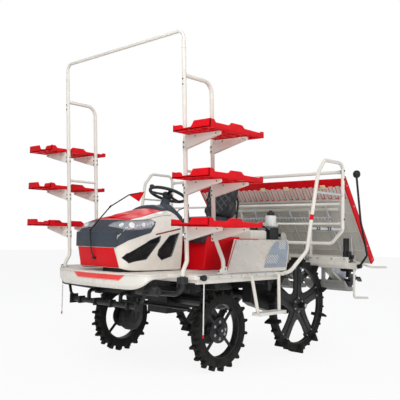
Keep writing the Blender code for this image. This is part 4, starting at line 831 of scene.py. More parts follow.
class TRANSPLANTER_OT_add_headlights(bpy.types.Operator):
    """Add the wrap-round headlights: housing, reflectors, lamps and lens"""

    bl_idname = "transplanter.add_headlights"
    bl_label = "Add Headlights"

    def execute(self, context):
        for side_name, side in SIDES:
            def housing(u, v):
                diagonal, height = between(LAMP_LOWER, LAMP_UPPER, u, v)
                return lamp_point(diagonal, height, side, 0.0025)
            back = skin(40, 8, housing, wall=0.006 * side)
            finished(f"headlight_housing_{side_name}", back, "dark_plastic",
                     "bonnet_lid")

            def reflector(u, v):
                diagonal, height = between(LAMP_LOWER, LAMP_UPPER, 0.04 + 0.90 * u,
                                           0.14 + 0.72 * v)
                ridge = 0.0008 * cos(2 * pi * 9 * u)
                return lamp_point(diagonal, height, side, 0.0042 + ridge)
            bright = skin(72, 10, reflector, wall=0.0012 * side)
            finished(f"headlight_reflector_{side_name}", bright, "chrome",
                     "bonnet_lid", 50)
            bowls = []
            for share, radius in ((0.30, 0.021), (0.50, 0.024), (0.72, 0.016)):
                diagonal, height = between(LAMP_LOWER, LAMP_UPPER, share, 0.5)
                place = lamp_point(diagonal, height, side, 0.005)
                outward = (lamp_point(diagonal, height, side, 0.02) - place).normalized()
                bowl = spun([(radius, 0.001), (radius * 0.95, 0.0035), (radius * 0.80, 0.0030),
                             (radius * 0.5, 0.0012), (0.0, 0.0004), (0.0, -0.002),
                             (radius, -0.002)], "Z", ORIGIN, 28)
                bowls.append(placed(bowl, tilted_to(outward, place)))
            finished(f"headlight_bowls_{side_name}", joined(*bowls), "lamp_white",
                     "bonnet_lid", 50)

            def lens(u, v):
                diagonal, height = between(LAMP_LOWER, LAMP_UPPER, 0.01 + 0.98 * u,
                                           0.03 + 0.94 * v)
                crown = 0.004 * sin(pi * v)
                return lamp_point(diagonal, height, side, 0.0065 + crown)
            clear = skin(48, 8, lens, wall=0.0015 * side)
            finished(f"headlight_lens_{side_name}", clear, "lens", "bonnet_lid",
                     60, replaces=(f"headlight_{side_name}",))
        return {"FINISHED"}


class TRANSPLANTER_OT_add_guide_mast(bpy.types.Operator):
    """Add the folded sighting mast with its target plate"""

    bl_idname = "transplanter.add_guide_mast"
    bl_label = "Add Guide Mast"

    def execute(self, context):
        x_place = -0.030
        mast = pipe([(x_place, -0.792, 0.900), (x_place, -0.822, 0.960), (x_place, -0.838, 1.120),
                     (x_place, -0.640, 1.315), (x_place, -0.440, 1.425),
                     (x_place, -0.300, 1.452)], 0.005, 0.08, 4)
        boss = bar((x_place - 0.020, -0.792, 0.900), (x_place + 0.020, -0.792, 0.900), 0.009, 24,
                   0.001)
        collars = [bar((x_place, -0.8395, 1.110), (x_place, -0.8345, 1.126), 0.0075, 16),
                   bar((x_place, -0.648, 1.307), (x_place, -0.632, 1.3235), 0.0075, 16)]
        finished("guide_mast_tube", joined(mast, boss, *collars), "black_paint",
                 "guide_mast", replaces=("guide_mast",))
        target = plate([(-0.440, 1.420), (-0.270, 1.462), (-0.330, 1.372)], "X",
                       x_place - 0.0025, x_place + 0.0025, 0.001)
        grip = bar((x_place, -0.330, 1.4465), (x_place, -0.303, 1.4515), 0.0072, 20, 0.001)
        finished("guide_mast_target", joined(target, grip), "red_plastic", "guide_mast")
        return {"FINISHED"}


# Deck and nose

NOSE_PLAN = ((0.570, -0.560), (0.571, -0.640), (0.566, -0.700), (0.540, -0.757),
             (0.440, -0.803), (0.240, -0.834), (0.0, -0.8445))


def nose_point(share):
    """Point on the nose's plan, from the driver's left at 0 to the right at 1."""
    half = [(x, y, 0.0) for x, y in NOSE_PLAN]
    whole = half + [(-x, y, z) for x, y, z in reversed(half[:-1])]
    return spline(whole, share * (len(whole) - 1))


class TRANSPLANTER_OT_add_deck(bpy.types.Operator):
    """Add the walking deck, the nose cowl, its nose plate and the edge strips"""

    bl_idname = "transplanter.add_deck"
    bl_label = "Add Deck and Nose"

    def execute(self, context):
        self.deck()
        self.pads()
        self.nose()
        self.nose_plate()
        self.edges()
        return {"FINISHED"}

    def deck(self):
        """Treaded deck with the engine bay cut out of it."""
        rim = [nose_point(step / 40) for step in range(41)]
        outline = [(0.860, 0.490), (0.860, -0.520), (0.840, -0.540), (0.580, -0.540)]
        outline += [(point.x, point.y) for point in rim]
        outline += [(-0.580, -0.540), (-0.840, -0.540), (-0.860, -0.520), (-0.860, 0.490)]
        deck = plate(outline, "Z", 0.7655, 0.7985, 0.006, 3)
        carved(deck, slab((-0.240, 0.240), (-0.750, -0.140), (0.70, 0.90), 0.0))
        finished("walking_deck", deck, "deck_tread", "chassis",
                 replaces=("floor_deck",))

    def pads(self):
        """Ribbed foot pads on both sides of the bonnet."""
        pads = []
        for side in (1, -1):
            pads.append(slab((side * 0.380, side * 0.698), (-0.500, -0.140), (0.7980, 0.8015),
                             0.0008))
            for row in range(12):
                y_place = -0.486 + 0.0302 * row
                pads.append(slab((side * 0.390, side * 0.688), around(y_place, 0.004),
                                 (0.8010, 0.8026), 0.0006))
        finished("deck_pads", joined(*pads), "deck_tread", "chassis")

    def nose(self):
        """Cowl round the deck's front, with a bead along its top."""
        def cowl(u, v):
            place = nose_point(1 - u)
            middle = min(1.0, max(0.0, (1 - abs(2 * u - 1) - 0.28) / 0.42))
            lower = 0.757 - 0.077 * middle * middle * (3 - 2 * middle)
            tuck = 0.020 * max(0.0, 1 - v * 3.2) ** 1.6 + 0.003 * max(0.0, (v - 0.86) / 0.14)
            inward = Vector((-place.x, -(place.y + 0.45), 0.0)).normalized()
            return place + inward * tuck + Vector((0, 0, lower + (0.790 - lower) * v))
        shell = skin(96, 20, cowl, wall=0.005)
        bead = pipe([nose_point(step / 72) + Vector((0.0, 0.0, 0.792)) for step in range(73)],
                    0.0045, 0.2, 3)
        finished("nose_cowl", joined(shell, bead), "cream_shell", "chassis", 50)

    def nose_plate(self):
        """Blank coral plate on the nose, with a pale line round it."""
        def label(u, v, out=0.0):
            span = 0.196 + 0.024 * (2 * v - 1)
            place = nose_point(0.471 + span * (0.5 - u))
            outward = Vector((place.x * 0.6, place.y + 0.45, 0.0)).normalized()
            return place + outward * (0.0012 + out) + Vector((0, 0, 0.744 + 0.047 * v))
        finished("nose_plate", skin(28, 4, label, wall=-0.0016), "coral", "chassis")
        inner = [label(u, v, 0.0012) for u, v in
                 [(0.015 + 0.97 * step / 20, 0.08) for step in range(21)]
                 + [(0.985 - 0.97 * step / 20, 0.92) for step in range(21)]]
        line = pipe(inner, 0.0012, 0.2, 1, closed=True)
        finished("nose_plate_line", line, "white_plastic", "chassis", 60)

    def edges(self):
        """Bright edge strips with their screws, and the ribs under the deck."""
        edges = []
        for side in (1, -1):
            edges.append(pipe([(side * 0.8575, -0.530, 0.7965), (side * 0.8575, 0.486, 0.7965)],
                              0.0035, 0.2, 3))
            for y_place in (-0.420, -0.300, -0.150, -0.030, 0.160, 0.290):
                edges.append(bolt((side * 0.860, y_place, 0.782), (side, 0, 0), 0.0045, 0.003))
        finished("deck_edges", joined(*edges), "zinc", "chassis")

        cross = [slab((side * 0.30, side * 0.84), around(y, 0.015), (0.742, 0.7652), 0.002)
                 for side in (1, -1) for y in (-0.500, -0.300, -0.100, 0.110, 0.300, 0.470)]
        for side in (1, -1):
            cross.append(slab((side * 0.820, side * 0.850), (-0.520, 0.486), (0.735, 0.7650),
                              0.002))
        finished("deck_ribs", joined(*cross), "cream_paint", "chassis")


# Wheels

FRONT_WHEEL = Vector((0.610, 0.0, 0.325))
REAR_WHEEL = Vector((0.607, 1.140, 0.450))


class TRANSPLANTER_OT_add_wheels(bpy.types.Operator):
    """Add the lugged front wheels and the paddled rear wheels"""

    bl_idname = "transplanter.add_wheels"
    bl_label = "Add Wheels"

    def execute(self, context):
        look = context.scene.transplanter_look
        self.front(look.front_lugs)
        self.rear(look.rear_paddles)
        return {"FINISHED"}

    def front(self, lugs):
        centre = FRONT_WHEEL
        profile = [(0.221, -0.030), (0.225, -0.0335), (0.252, -0.038), (0.280, -0.0445),
                   (0.2885, -0.042), (0.2915, -0.036), (0.292, 0.0), (0.2915, 0.036),
                   (0.2885, 0.042), (0.280, 0.0445), (0.252, 0.038), (0.225, 0.0335),
                   (0.221, 0.030), (0.2195, 0.0)]
        tread = spun(profile, "X", centre, 108)
        turns = []
        for face, phase in ((1, 0.0), (-1, 0.5)):
            block = plate([(-0.0155, -0.283), (0.0155, -0.283),
                           (0.0125, -0.3120), (0.0095, -0.3245), (-0.0095, -0.3245),
                           (-0.0125, -0.3120)], "X", face * 0.0445, -face * 0.004, 0.0025, 2)
            for corner in block.data.vertices:
                corner.co.y += 0.006 * face * corner.co.x / 0.0445
            turn = Matrix.Rotation(phase * 2 * pi / lugs, 4, "X")
            block = placed(block, Matrix.Translation(centre) @ turn)
            turns.append(ring_of(block, "X", centre, lugs))
        tread = joined(tread, *turns)
        rim = spun([(0.2205, -0.0315), (0.2140, -0.0335), (0.2105, -0.029), (0.2085, -0.012),
                    (0.2085, 0.012), (0.2105, 0.029), (0.2140, 0.0335), (0.2205, 0.0315)], "X",
                   centre, 96)
        spoke = bar(centre + Vector((0, 0.062, 0.062)) * 0.9, centre + Vector((0, 0.149, 0.149)),
                    0.0125, 24)
        collar = bar(centre + Vector((0, 0.143, 0.143)), centre + Vector((0, 0.1505, 0.1505)),
                     0.0175, 24, 0.002)
        spokes = ring_of(joined(spoke, collar), "X", centre, 4)
        disc = spun([(0.0, 0.0355), (0.018, 0.0355), (0.020, 0.0330), (0.038, 0.0310),
                     (0.042, 0.0270), (0.045, 0.0110), (0.050, 0.0085), (0.098, 0.0080),
                     (0.104, 0.0060), (0.105, 0.0), (0.104, -0.006), (0.098, -0.008),
                     (0.042, -0.0085), (0.040, -0.0340), (0.0, -0.0345)], "X", centre, 64)
        steelwork = joined(rim, spokes, disc)
        fixings = joined(
            ring_of(bolt(centre + Vector((0.0075, 0.068, 0)), (1, 0, 0), 0.0085, 0.009), "X",
                    centre, 6, 30.0),
            bolt(centre + Vector((0.0305, 0, 0)), (1, 0, 0), 0.011, 0.006))
        sided("front_tyre_SIDE", tread, "rubber", "front_wheel_SIDE", 40,
              "front_wheel_SIDE")
        sided("front_rim_SIDE", steelwork, "black_paint", "front_wheel_SIDE", 40)
        sided("front_hub_bolts_SIDE", fixings, "zinc", "front_wheel_SIDE", 40)

    def rear(self, paddles):
        centre = REAR_WHEEL
        profile = [(0.364, -0.0200), (0.368, -0.0230), (0.395, -0.0300), (0.410, -0.0345),
                   (0.4155, -0.0300), (0.417, 0.0), (0.4155, 0.0300), (0.410, 0.0345),
                   (0.395, 0.0300), (0.368, 0.0230), (0.364, 0.0200), (0.3625, 0.0)]
        parts = [spun(profile, "X", centre, 120)]
        blade = plate([(-0.0150, -0.372), (0.0150, -0.372), (0.0120, -0.410), (0.0085, -0.4490),
                       (-0.0085, -0.4490), (-0.0120, -0.410)], "X", -0.0695, 0.0695, 0.003, 2)
        web = plate([(-0.040, -0.385), (0.040, -0.385), (0.012, -0.432), (-0.012, -0.432)], "X",
                    -0.020, 0.020, 0.004, 2)
        small = plate([(-0.0135, -0.405), (0.0135, -0.405), (0.0085, -0.4355),
                       (-0.0085, -0.4355)], "X", -0.0315, 0.0315, 0.0025, 2)
        for made, places in ((joined(blade, web), (0.0,)), (small, (1 / 3, 2 / 3))):
            for index, place in enumerate(places):
                shape = made if index == len(places) - 1 else copied(made)
                turn = Matrix.Rotation(place * 2 * pi / paddles, 4, "X")
                shape = placed(shape, Matrix.Translation(centre) @ turn)
                parts.append(ring_of(shape, "X", centre, paddles))
        tread = joined(*parts)

        outline = []
        for arm in range(5):
            for turn, radius in ((-10.5, 0.372), (10.5, 0.372), (11.5, 0.335), (12.5, 0.290),
                                 (15.0, 0.230), (20.5, 0.178), (28.0, 0.148), (36.0, 0.140),
                                 (44.0, 0.148), (51.5, 0.178), (57.0, 0.230), (59.5, 0.290),
                                 (60.5, 0.335)):
                angle = radians(arm * 72.0 + turn)
                outline.append((centre.y + radius * sin(angle), centre.z + radius * cos(angle)))
        web = plate(outline, "X", centre.x - 0.0065, centre.x + 0.0065, 0.002, 2)
        inner_rim = spun([(0.3640, -0.0190), (0.3560, -0.0180), (0.3530, -0.0120),
                          (0.3530, 0.0120), (0.3560, 0.0180), (0.3640, 0.0190)], "X", centre, 96)
        foot, top = centre.z + 0.075, centre.z + 0.345
        arm_rib = plate([(centre.y - 0.010, foot), (centre.y + 0.010, foot),
                         (centre.y + 0.004, top), (centre.y - 0.004, top)], "X",
                        centre.x - 0.013, centre.x + 0.013, 0.003, 2)
        ribs = ring_of(arm_rib, "X", centre, 5)
        hub = spun([(0.0, 0.0975), (0.022, 0.0975), (0.0285, 0.092), (0.030, 0.034),
                    (0.045, 0.030), (0.074, 0.015), (0.0765, 0.010), (0.0765, -0.010),
                    (0.074, -0.0125), (0.052, -0.030), (0.050, -0.0345), (0.0, -0.0345)], "X",
                   centre, 64)
        steelwork = joined(web, inner_rim, ribs, hub)
        fixings = [ring_of(bolt(centre + Vector((0.0145, 0.0, 0.062)), (1, 0, 0), 0.0085, 0.009),
                           "X", centre, 6)]
        for turn in (-7.0, 7.0):
            angle = radians(turn)
            place = centre + Vector((0.0065, 0.350 * sin(angle), 0.350 * cos(angle)))
            fixings.append(ring_of(bolt(place, (1, 0, 0), 0.0065, 0.006), "X", centre, 5))
        cap = spun([(0.0, 0.1000), (0.016, 0.0995), (0.019, 0.0975), (0.019, 0.0940),
                    (0.0, 0.0940)], "X", centre, 32)
        fixings = joined(cap, *fixings)
        sided("rear_tyre_SIDE", tread, "rubber", "rear_wheel_SIDE", 40,
              "rear_wheel_SIDE")
        sided("rear_web_SIDE", steelwork, "black_paint", "rear_wheel_SIDE", 40)
        sided("rear_hub_bolts_SIDE", fixings, "zinc", "rear_wheel_SIDE", 40)


# Racks, rails, steps

RACK_X = 0.738
RACK_FRONT = -0.529
RACK_REAR = -0.223
SHELF_LEVELS = (("top", 1.832), ("middle", 1.493), ("bottom", 1.155))


def rack_y(base, height):
    """Where a leaning rack post stands along Y at a height."""
    return base - 0.0485 * (height - 1.0)


class TRANSPLANTER_OT_add_racks(bpy.types.Operator):
    """Add the seedling rack's bent tubes, brackets, gussets, bolts and crossbar"""

    bl_idname = "transplanter.add_racks"
    bl_label = "Add Racks"

    def execute(self, context):
        front = pipe([(0.740, -0.567, 0.7843), (0.740, -0.567, 0.825),
                      (RACK_X, rack_y(RACK_FRONT, 0.90), 0.900),
                      (RACK_X, rack_y(RACK_FRONT, 2.500), 2.500)], 0.016, 0.06, 6)
        rear = pipe([(RACK_X, rack_y(RACK_FRONT, 2.285) + 0.010, 2.285),
                     (RACK_X, rack_y(RACK_REAR, 2.285), 2.285),
                     (RACK_X, rack_y(RACK_REAR, 1.1), 1.100),
                     (0.840, -0.230, 0.900), (0.840, -0.230, DECK_FACE)], 0.016, 0.09, 6)
        rung = bar((RACK_X, rack_y(RACK_FRONT, 1.57), 1.570),
                   (RACK_X, rack_y(RACK_REAR, 1.57), 1.570), 0.011, 24)
        flange = slab((0.808, 0.872), (-0.262, -0.198), (DECK_FACE, 0.8060), 0.001)
        gusset = plate([(-0.320, 0.8060), (-0.200, 0.8060), (-0.200, 0.855), (-0.242, 0.862)],
                       "X", 0.8480, 0.8540, 0.001)
        sided("rack_tubes_SIDE", joined(front, rear, rung, flange, gusset), "cream_paint",
              "chassis", 35, "rack_frame_SIDE")

        brackets = []
        fixings = []
        for _, shelf_z in SHELF_LEVELS:
            top = shelf_z - 0.0003
            for base in (RACK_FRONT, RACK_REAR):
                y_place = rack_y(base, shelf_z - 0.06)
                wall = [(RACK_X + 0.010, top - 0.105), (RACK_X + 0.010, top - 0.040),
                        (0.770, top), (1.080, top), (1.080, top - 0.022)]
                brackets.append(plate(wall, "Y", y_place - 0.013, y_place - 0.010, 0.0006))
                brackets.append(plate(wall, "Y", y_place + 0.010, y_place + 0.013, 0.0006))
                sole = plate([(RACK_X + 0.010, top - 0.105), (1.080, top - 0.022),
                              (1.080, top - 0.0195), (RACK_X + 0.010, top - 0.1015)], "Y",
                             y_place - 0.0125, y_place + 0.0125, 0.0006)
                end = slab((1.0775, 1.0805), around(y_place, 0.0125), (top - 0.022, top), 0.0005)
                clasp = spun([(0.0163, -0.034), (0.0200, -0.033), (0.0200, 0.033),
                              (0.0163, 0.034)], "Z", (0, 0, 0), 28)
                place = Vector((RACK_X, rack_y(base, top - 0.07), top - 0.070))
                placed(clasp, Matrix.Translation(place) @ Matrix.Rotation(0.0485, 4, "X"))
                brackets += [sole, end, clasp]
                for height in (top - 0.052, top - 0.088):
                    place_y = rack_y(base, height)
                    fixings += [
                        bolt((RACK_X - 0.0195, place_y, height), (-1, 0, 0), 0.0050, 0.004),
                        bolt((RACK_X + 0.003, place_y - 0.0198, height), (0, -1, 0), 0.0050,
                             0.004)]
                for x_place in (0.850, 1.050):
                    fixings.append(bolt((x_place, y_place - 0.013, top - 0.014), (0, -1, 0),
                                        0.0042, 0.003))
        sided("shelf_brackets_SIDE", joined(*brackets), "cream_paint", "chassis")
        for height in (2.255, 2.215):
            fixings.append(bolt((RACK_X, rack_y(RACK_FRONT, height) - 0.0158, height), (0, -1, 0),
                                0.005, 0.004))
        for y_place, height in ((-0.295, 0.822), (-0.222, 0.840)):
            fixings.append(bolt((0.8540, y_place, height), (1, 0, 0), 0.0060, 0.004))
        sided("rack_bolts_SIDE", joined(*fixings), "dark_metal", "chassis")

        top_y = rack_y(RACK_FRONT, 2.624)
        foot_y = rack_y(RACK_FRONT, 2.500)
        crossbar = pipe([(RACK_X, foot_y, 2.5003), (RACK_X, top_y, 2.624),
                         (-RACK_X, top_y, 2.624), (-RACK_X, foot_y, 2.5003)], 0.0133, 0.06, 6)
        rings = [bar((side * RACK_X, rack_y(RACK_FRONT, 2.486), 2.486),
                     (side * RACK_X, foot_y, 2.5003), 0.0175, 28, 0.001) for side in (1, -1)]
        finished("rack_crossbar", joined(crossbar, *rings), "cream_paint", "chassis",
                 35, ("rack_top_bar",))

        clamps = [slab((0.712, 0.768), (-0.597, -0.537), (0.735, 0.7835), 0.003),
                  slab((0.700, 0.712), (-0.590, -0.545), (0.700, 0.780), 0.002)]
        for height in (0.750, 0.770):
            clamps.append(bolt((0.768, -0.567, height), (1, 0, 0), 0.0065, 0.005))
            clamps.append(bolt((0.740, -0.597, height), (0, -1, 0), 0.0060, 0.005))
        clamps.append(bar((0.740, -0.567, 0.7835), (0.740, -0.567, 0.7900), 0.022, 28, 0.001))
        sided("rack_foot_clamps_SIDE", joined(*clamps), "iron", "chassis")
        return {"FINISHED"}


class TRANSPLANTER_OT_add_shelves(bpy.types.Operator):
    """Add the red seedling shelves with perforated trays and shaped lips"""

    bl_idname = "transplanter.add_shelves"
    bl_label = "Add Shelves"

    def tray(self):
        """One shelf at height 0, between x 0 and 0.360 from its inner edge."""
        columns, rows = 19, 35
        base = skin(columns, rows, lambda u, v: Vector((0.006 + 0.348 * u, -0.724 + 0.598 * v,
                                                        0.0095)))
        holes = []
        for index, face in enumerate(base.data.polygons):
            column, row = index % columns, index // columns
            face.select = column % 2 == 1 and row % 2 == 1 and row % 8 != 7
            holes.append(face.select)
        choose(base)
        bpy.ops.object.mode_set(mode="EDIT")
        bpy.ops.mesh.select_mode(type="FACE")
        bpy.ops.object.mode_set(mode="OBJECT")
        for face, cut in zip(base.data.polygons, holes):
            face.select = cut
        bpy.ops.object.mode_set(mode="EDIT")
        bpy.ops.mesh.delete(type="FACE")
        bpy.ops.object.mode_set(mode="OBJECT")
        modified(base, "SOLIDIFY", thickness=0.0035, offset=-1.0)
        parts = [base]
        for x_place in (0.095, 0.180, 0.265):
            parts.append(slab(around(x_place, 0.002), (-0.724, -0.126), (0.0005, 0.0065), 0.0006))
        for y_place in (-0.650, -0.520, -0.390, -0.260, -0.180):
            parts.append(slab((0.006, 0.354), around(y_place, 0.002), (0.0005, 0.0065), 0.0006))
        lip = [(0.0, 0.0015), (0.0, 0.045), (0.078, 0.045), (0.090, 0.040), (0.104, 0.018),
               (0.176, 0.022), (0.190, 0.040), (0.204, 0.062), (0.360, 0.062), (0.360, 0.0015)]
        parts.append(plate(lip, "Y", -0.730, -0.7215, 0.0022, 3))
        ledge = [(0.0, -0.730), (0.360, -0.730), (0.360, -0.722), (0.0, -0.722)]
        parts.append(plate(ledge, "Z", 0.0005, 0.012, 0.0015))
        side_line = [(-0.730, 0.0015), (-0.730, 0.062), (-0.685, 0.060), (-0.668, 0.040),
                     (-0.530, 0.040), (-0.515, 0.048), (-0.500, 0.062), (-0.380, 0.062),
                     (-0.365, 0.050), (-0.350, 0.040), (-0.172, 0.036), (-0.150, 0.048),
                     (-0.120, 0.048), (-0.120, 0.0015)]
        parts.append(plate(side_line, "X", 0.3515, 0.360, 0.0022, 3))
        low_line = [(y, max(0.0015, z - 0.012) if z > 0.010 else z) for y, z in side_line]
        parts.append(plate(low_line, "X", 0.0, 0.0085, 0.0022, 3))
        parts.append(plate([(0.0, 0.0015), (0.0, 0.036), (0.130, 0.036), (0.150, 0.026),
                            (0.210, 0.026), (0.230, 0.036), (0.360, 0.036), (0.360, 0.0015)],
                           "Y", -0.1285, -0.120, 0.0022, 3))
        for x_place in (0.040, 0.235, 0.320):
            parts.append(slab(around(x_place, 0.0025), (-0.7225, -0.700), (0.008, 0.034), 0.001))
        for y_place in (-0.600, -0.440, -0.250):
            parts.append(slab((0.332, 0.352), around(y_place, 0.0025), (0.008, 0.034), 0.001))
            parts.append(slab((0.008, 0.026), around(y_place, 0.0025), (0.008, 0.026), 0.001))
        return joined(*parts)

    def execute(self, context):
        tray = self.tray()
        for index, (level, shelf_z) in enumerate(SHELF_LEVELS):
            shape = copied(tray) if index < 2 else tray
            placed(shape, Matrix.Translation((0.770, 0.0, shelf_z)))
            sided(f"shelf_SIDE_{level}", shape, "red_plastic", "chassis", 40,
                  f"seedling_shelf_SIDE_{level}")
        return {"FINISHED"}


class TRANSPLANTER_OT_add_handrails(bpy.types.Operator):
    """Add the handrail hoops, guard rails, boarding steps and their clips"""

    bl_idname = "transplanter.add_handrails"
    bl_label = "Add Handrails and Steps"

    def execute(self, context):
        hoop = pipe([(DECK_SIDE, 0.465, 0.7825), (0.900, 0.465, 0.7825), (0.975, 0.475, 0.805),
                     (1.070, 0.580, 0.980), (1.100, 0.700, 1.650), (1.100, 0.800, 1.766),
                     (1.100, 1.120, 1.766), (1.100, 1.120, 1.160), (0.980, 1.130, 1.040),
                     (0.4203, 1.130, 1.040)], 0.016, 0.07, 6)
        plates = [slab((DECK_SIDE, 0.8660), (0.430, 0.500), (0.770, 0.7955), 0.001),
                  slab((0.4203, 0.4260), (1.100, 1.160), (1.010, 1.064), 0.001)]
        sided("handrail_hoop_SIDE", joined(hoop, *plates), "cream_paint", "chassis",
              35, "handrail_SIDE")
        rungs = [bar((1.094, 0.670, 1.480), (1.100, 1.120, 1.480), 0.010, 24),
                 bar((1.080, 0.612, 1.170), (1.098, 1.120, 1.170), 0.010, 24)]
        sided("handrail_rungs_SIDE", joined(*rungs), "galvanised", "chassis")
        clips = []
        for y_place in (0.700, 0.735, 0.870, 0.905):
            x_place = 1.080 + 0.018 * (y_place - 0.612) / 0.508
            clips.append(bar((x_place, y_place, 1.170), (x_place + 0.0005, y_place + 0.014, 1.170),
                             0.0135, 20, 0.001))
        for height in (1.700, 1.620, 1.260):
            clips.append(bolt((1.1155, 1.120, height), (1, 0, 0), 0.006, 0.005))
        sided("handrail_clips_SIDE", joined(*clips), "dark_plastic", "chassis")
        for level, height, radius in (("bottom", 1.220, 0.011), ("middle", 1.400, 0.011),
                                      ("top", 1.690, 0.016)):
            rail = bar((-1.0837, 1.120, height), (1.0837, 1.120, height), radius, 32)
            cups = [bar((side * 1.0600, 1.120, height), (side * 1.0837, 1.120, height),
                        radius + 0.0035, 28, 0.001) for side in (1, -1)]
            finished(f"guard_rail_tube_{level}", joined(rail, *cups), "cream_paint",
                     "chassis", 35, (f"guard_rail_{level}",))

        step = [pipe([(DECK_SIDE, top_y, 0.7825), (0.8903, top_y, 0.7825),
                      (0.9503, foot_y, 0.482)], 0.014, 0.03, 6)
                for top_y, foot_y in ((0.060, 0.075), (0.430, 0.355))]
        step += [slab((0.9153, 0.9203), (0.040, 0.390), (0.472, 0.496), 0.001),
                 slab((0.9953, 1.0003), (0.040, 0.390), (0.472, 0.496), 0.001),
                 slab((0.9203, 0.9953), (0.040, 0.045), (0.472, 0.494), 0.001),
                 slab((0.9203, 0.9953), (0.385, 0.390), (0.472, 0.494), 0.001)]
        sided("step_frame_SIDE", joined(*step), "cream_paint", "chassis", 35,
              "ladder_SIDE")
        tread = []
        for row in range(13):
            y_place = 0.058 + 0.0262 * row
            tread.append(slab((0.9200, 0.9956), around(y_place, 0.003), (0.476, 0.492), 0.0008))
            for x_place in (0.932, 0.946, 0.960, 0.974, 0.988):
                tread.append(slab(around(x_place, 0.003),
                                  around(y_place, 0.003), (0.4905, 0.4955), 0.0006))
        for x_place in (0.938, 0.978):
            tread.append(slab(around(x_place, 0.0025), (0.044, 0.386), (0.474, 0.488), 0.0006))
        sided("step_tread_SIDE", joined(*tread), "galvanised", "chassis")
        return {"FINISHED"}


# Seat, wheel and dash

def puffed(made, voxel=0.006, pressure=4.0, cap=0.022):
    """Swell a closed form as padding under its cover, with a cap on each point's move."""
    modified(made, "REMESH", mode="VOXEL", voxel_size=voxel)
    choose(made)
    before = [corner.co.copy() for corner in made.data.vertices]
    cloth = made.modifiers.new("cloth", "CLOTH")
    cloth.settings.use_pressure = True
    cloth.settings.uniform_pressure_force = pressure
    cloth.settings.effector_weights.gravity = 0.0
    for count in range(1, 21):
        bpy.context.scene.frame_set(count)
    bpy.ops.object.modifier_apply(modifier=cloth.name)
    bpy.context.scene.frame_set(1)
    for corner, start in zip(made.data.vertices, before):
        move = corner.co - start
        if move.length > cap:
            corner.co = start + move * (cap / move.length)
    return modified(made, "SUBSURF", levels=1, render_levels=1)


def cushion(half, length, thick, crown, pinch, matrix):
    """A crowned pad with rounded corners whose sides pull in, before it is swollen."""
    choose()
    bpy.ops.mesh.primitive_cube_add(size=2.0)
    made = added()
    choose(made)
    bpy.ops.object.mode_set(mode="EDIT")
    bpy.ops.mesh.select_all(action="SELECT")
    bpy.ops.mesh.subdivide(number_cuts=11)
    bpy.ops.object.mode_set(mode="OBJECT")
    for corner in made.data.vertices:
        across, along, high = corner.co
        reach = (abs(across) ** 4 + abs(along) ** 4) ** 0.25
        square = max(abs(across), abs(along))
        shrink = square / reach if reach else 1.0
        across, along = across * shrink, along * shrink
        aside, ahead = abs(across), abs(along)
        pull = 1.0 - pinch * (1 - aside) * ahead - pinch * (1 - ahead) * aside
        edge = 1.0 - 0.10 * high * high
        bulge = crown * (1 - across * across) * (1 - along * along) if high > 0 else 0.0
        corner.co = (half * across * pull * edge, length * along * pull * edge,
                     thick * high * (1 - 0.18 * square ** 6) + bulge)
    return placed(eased(made, 0.004, 2, 50), matrix)


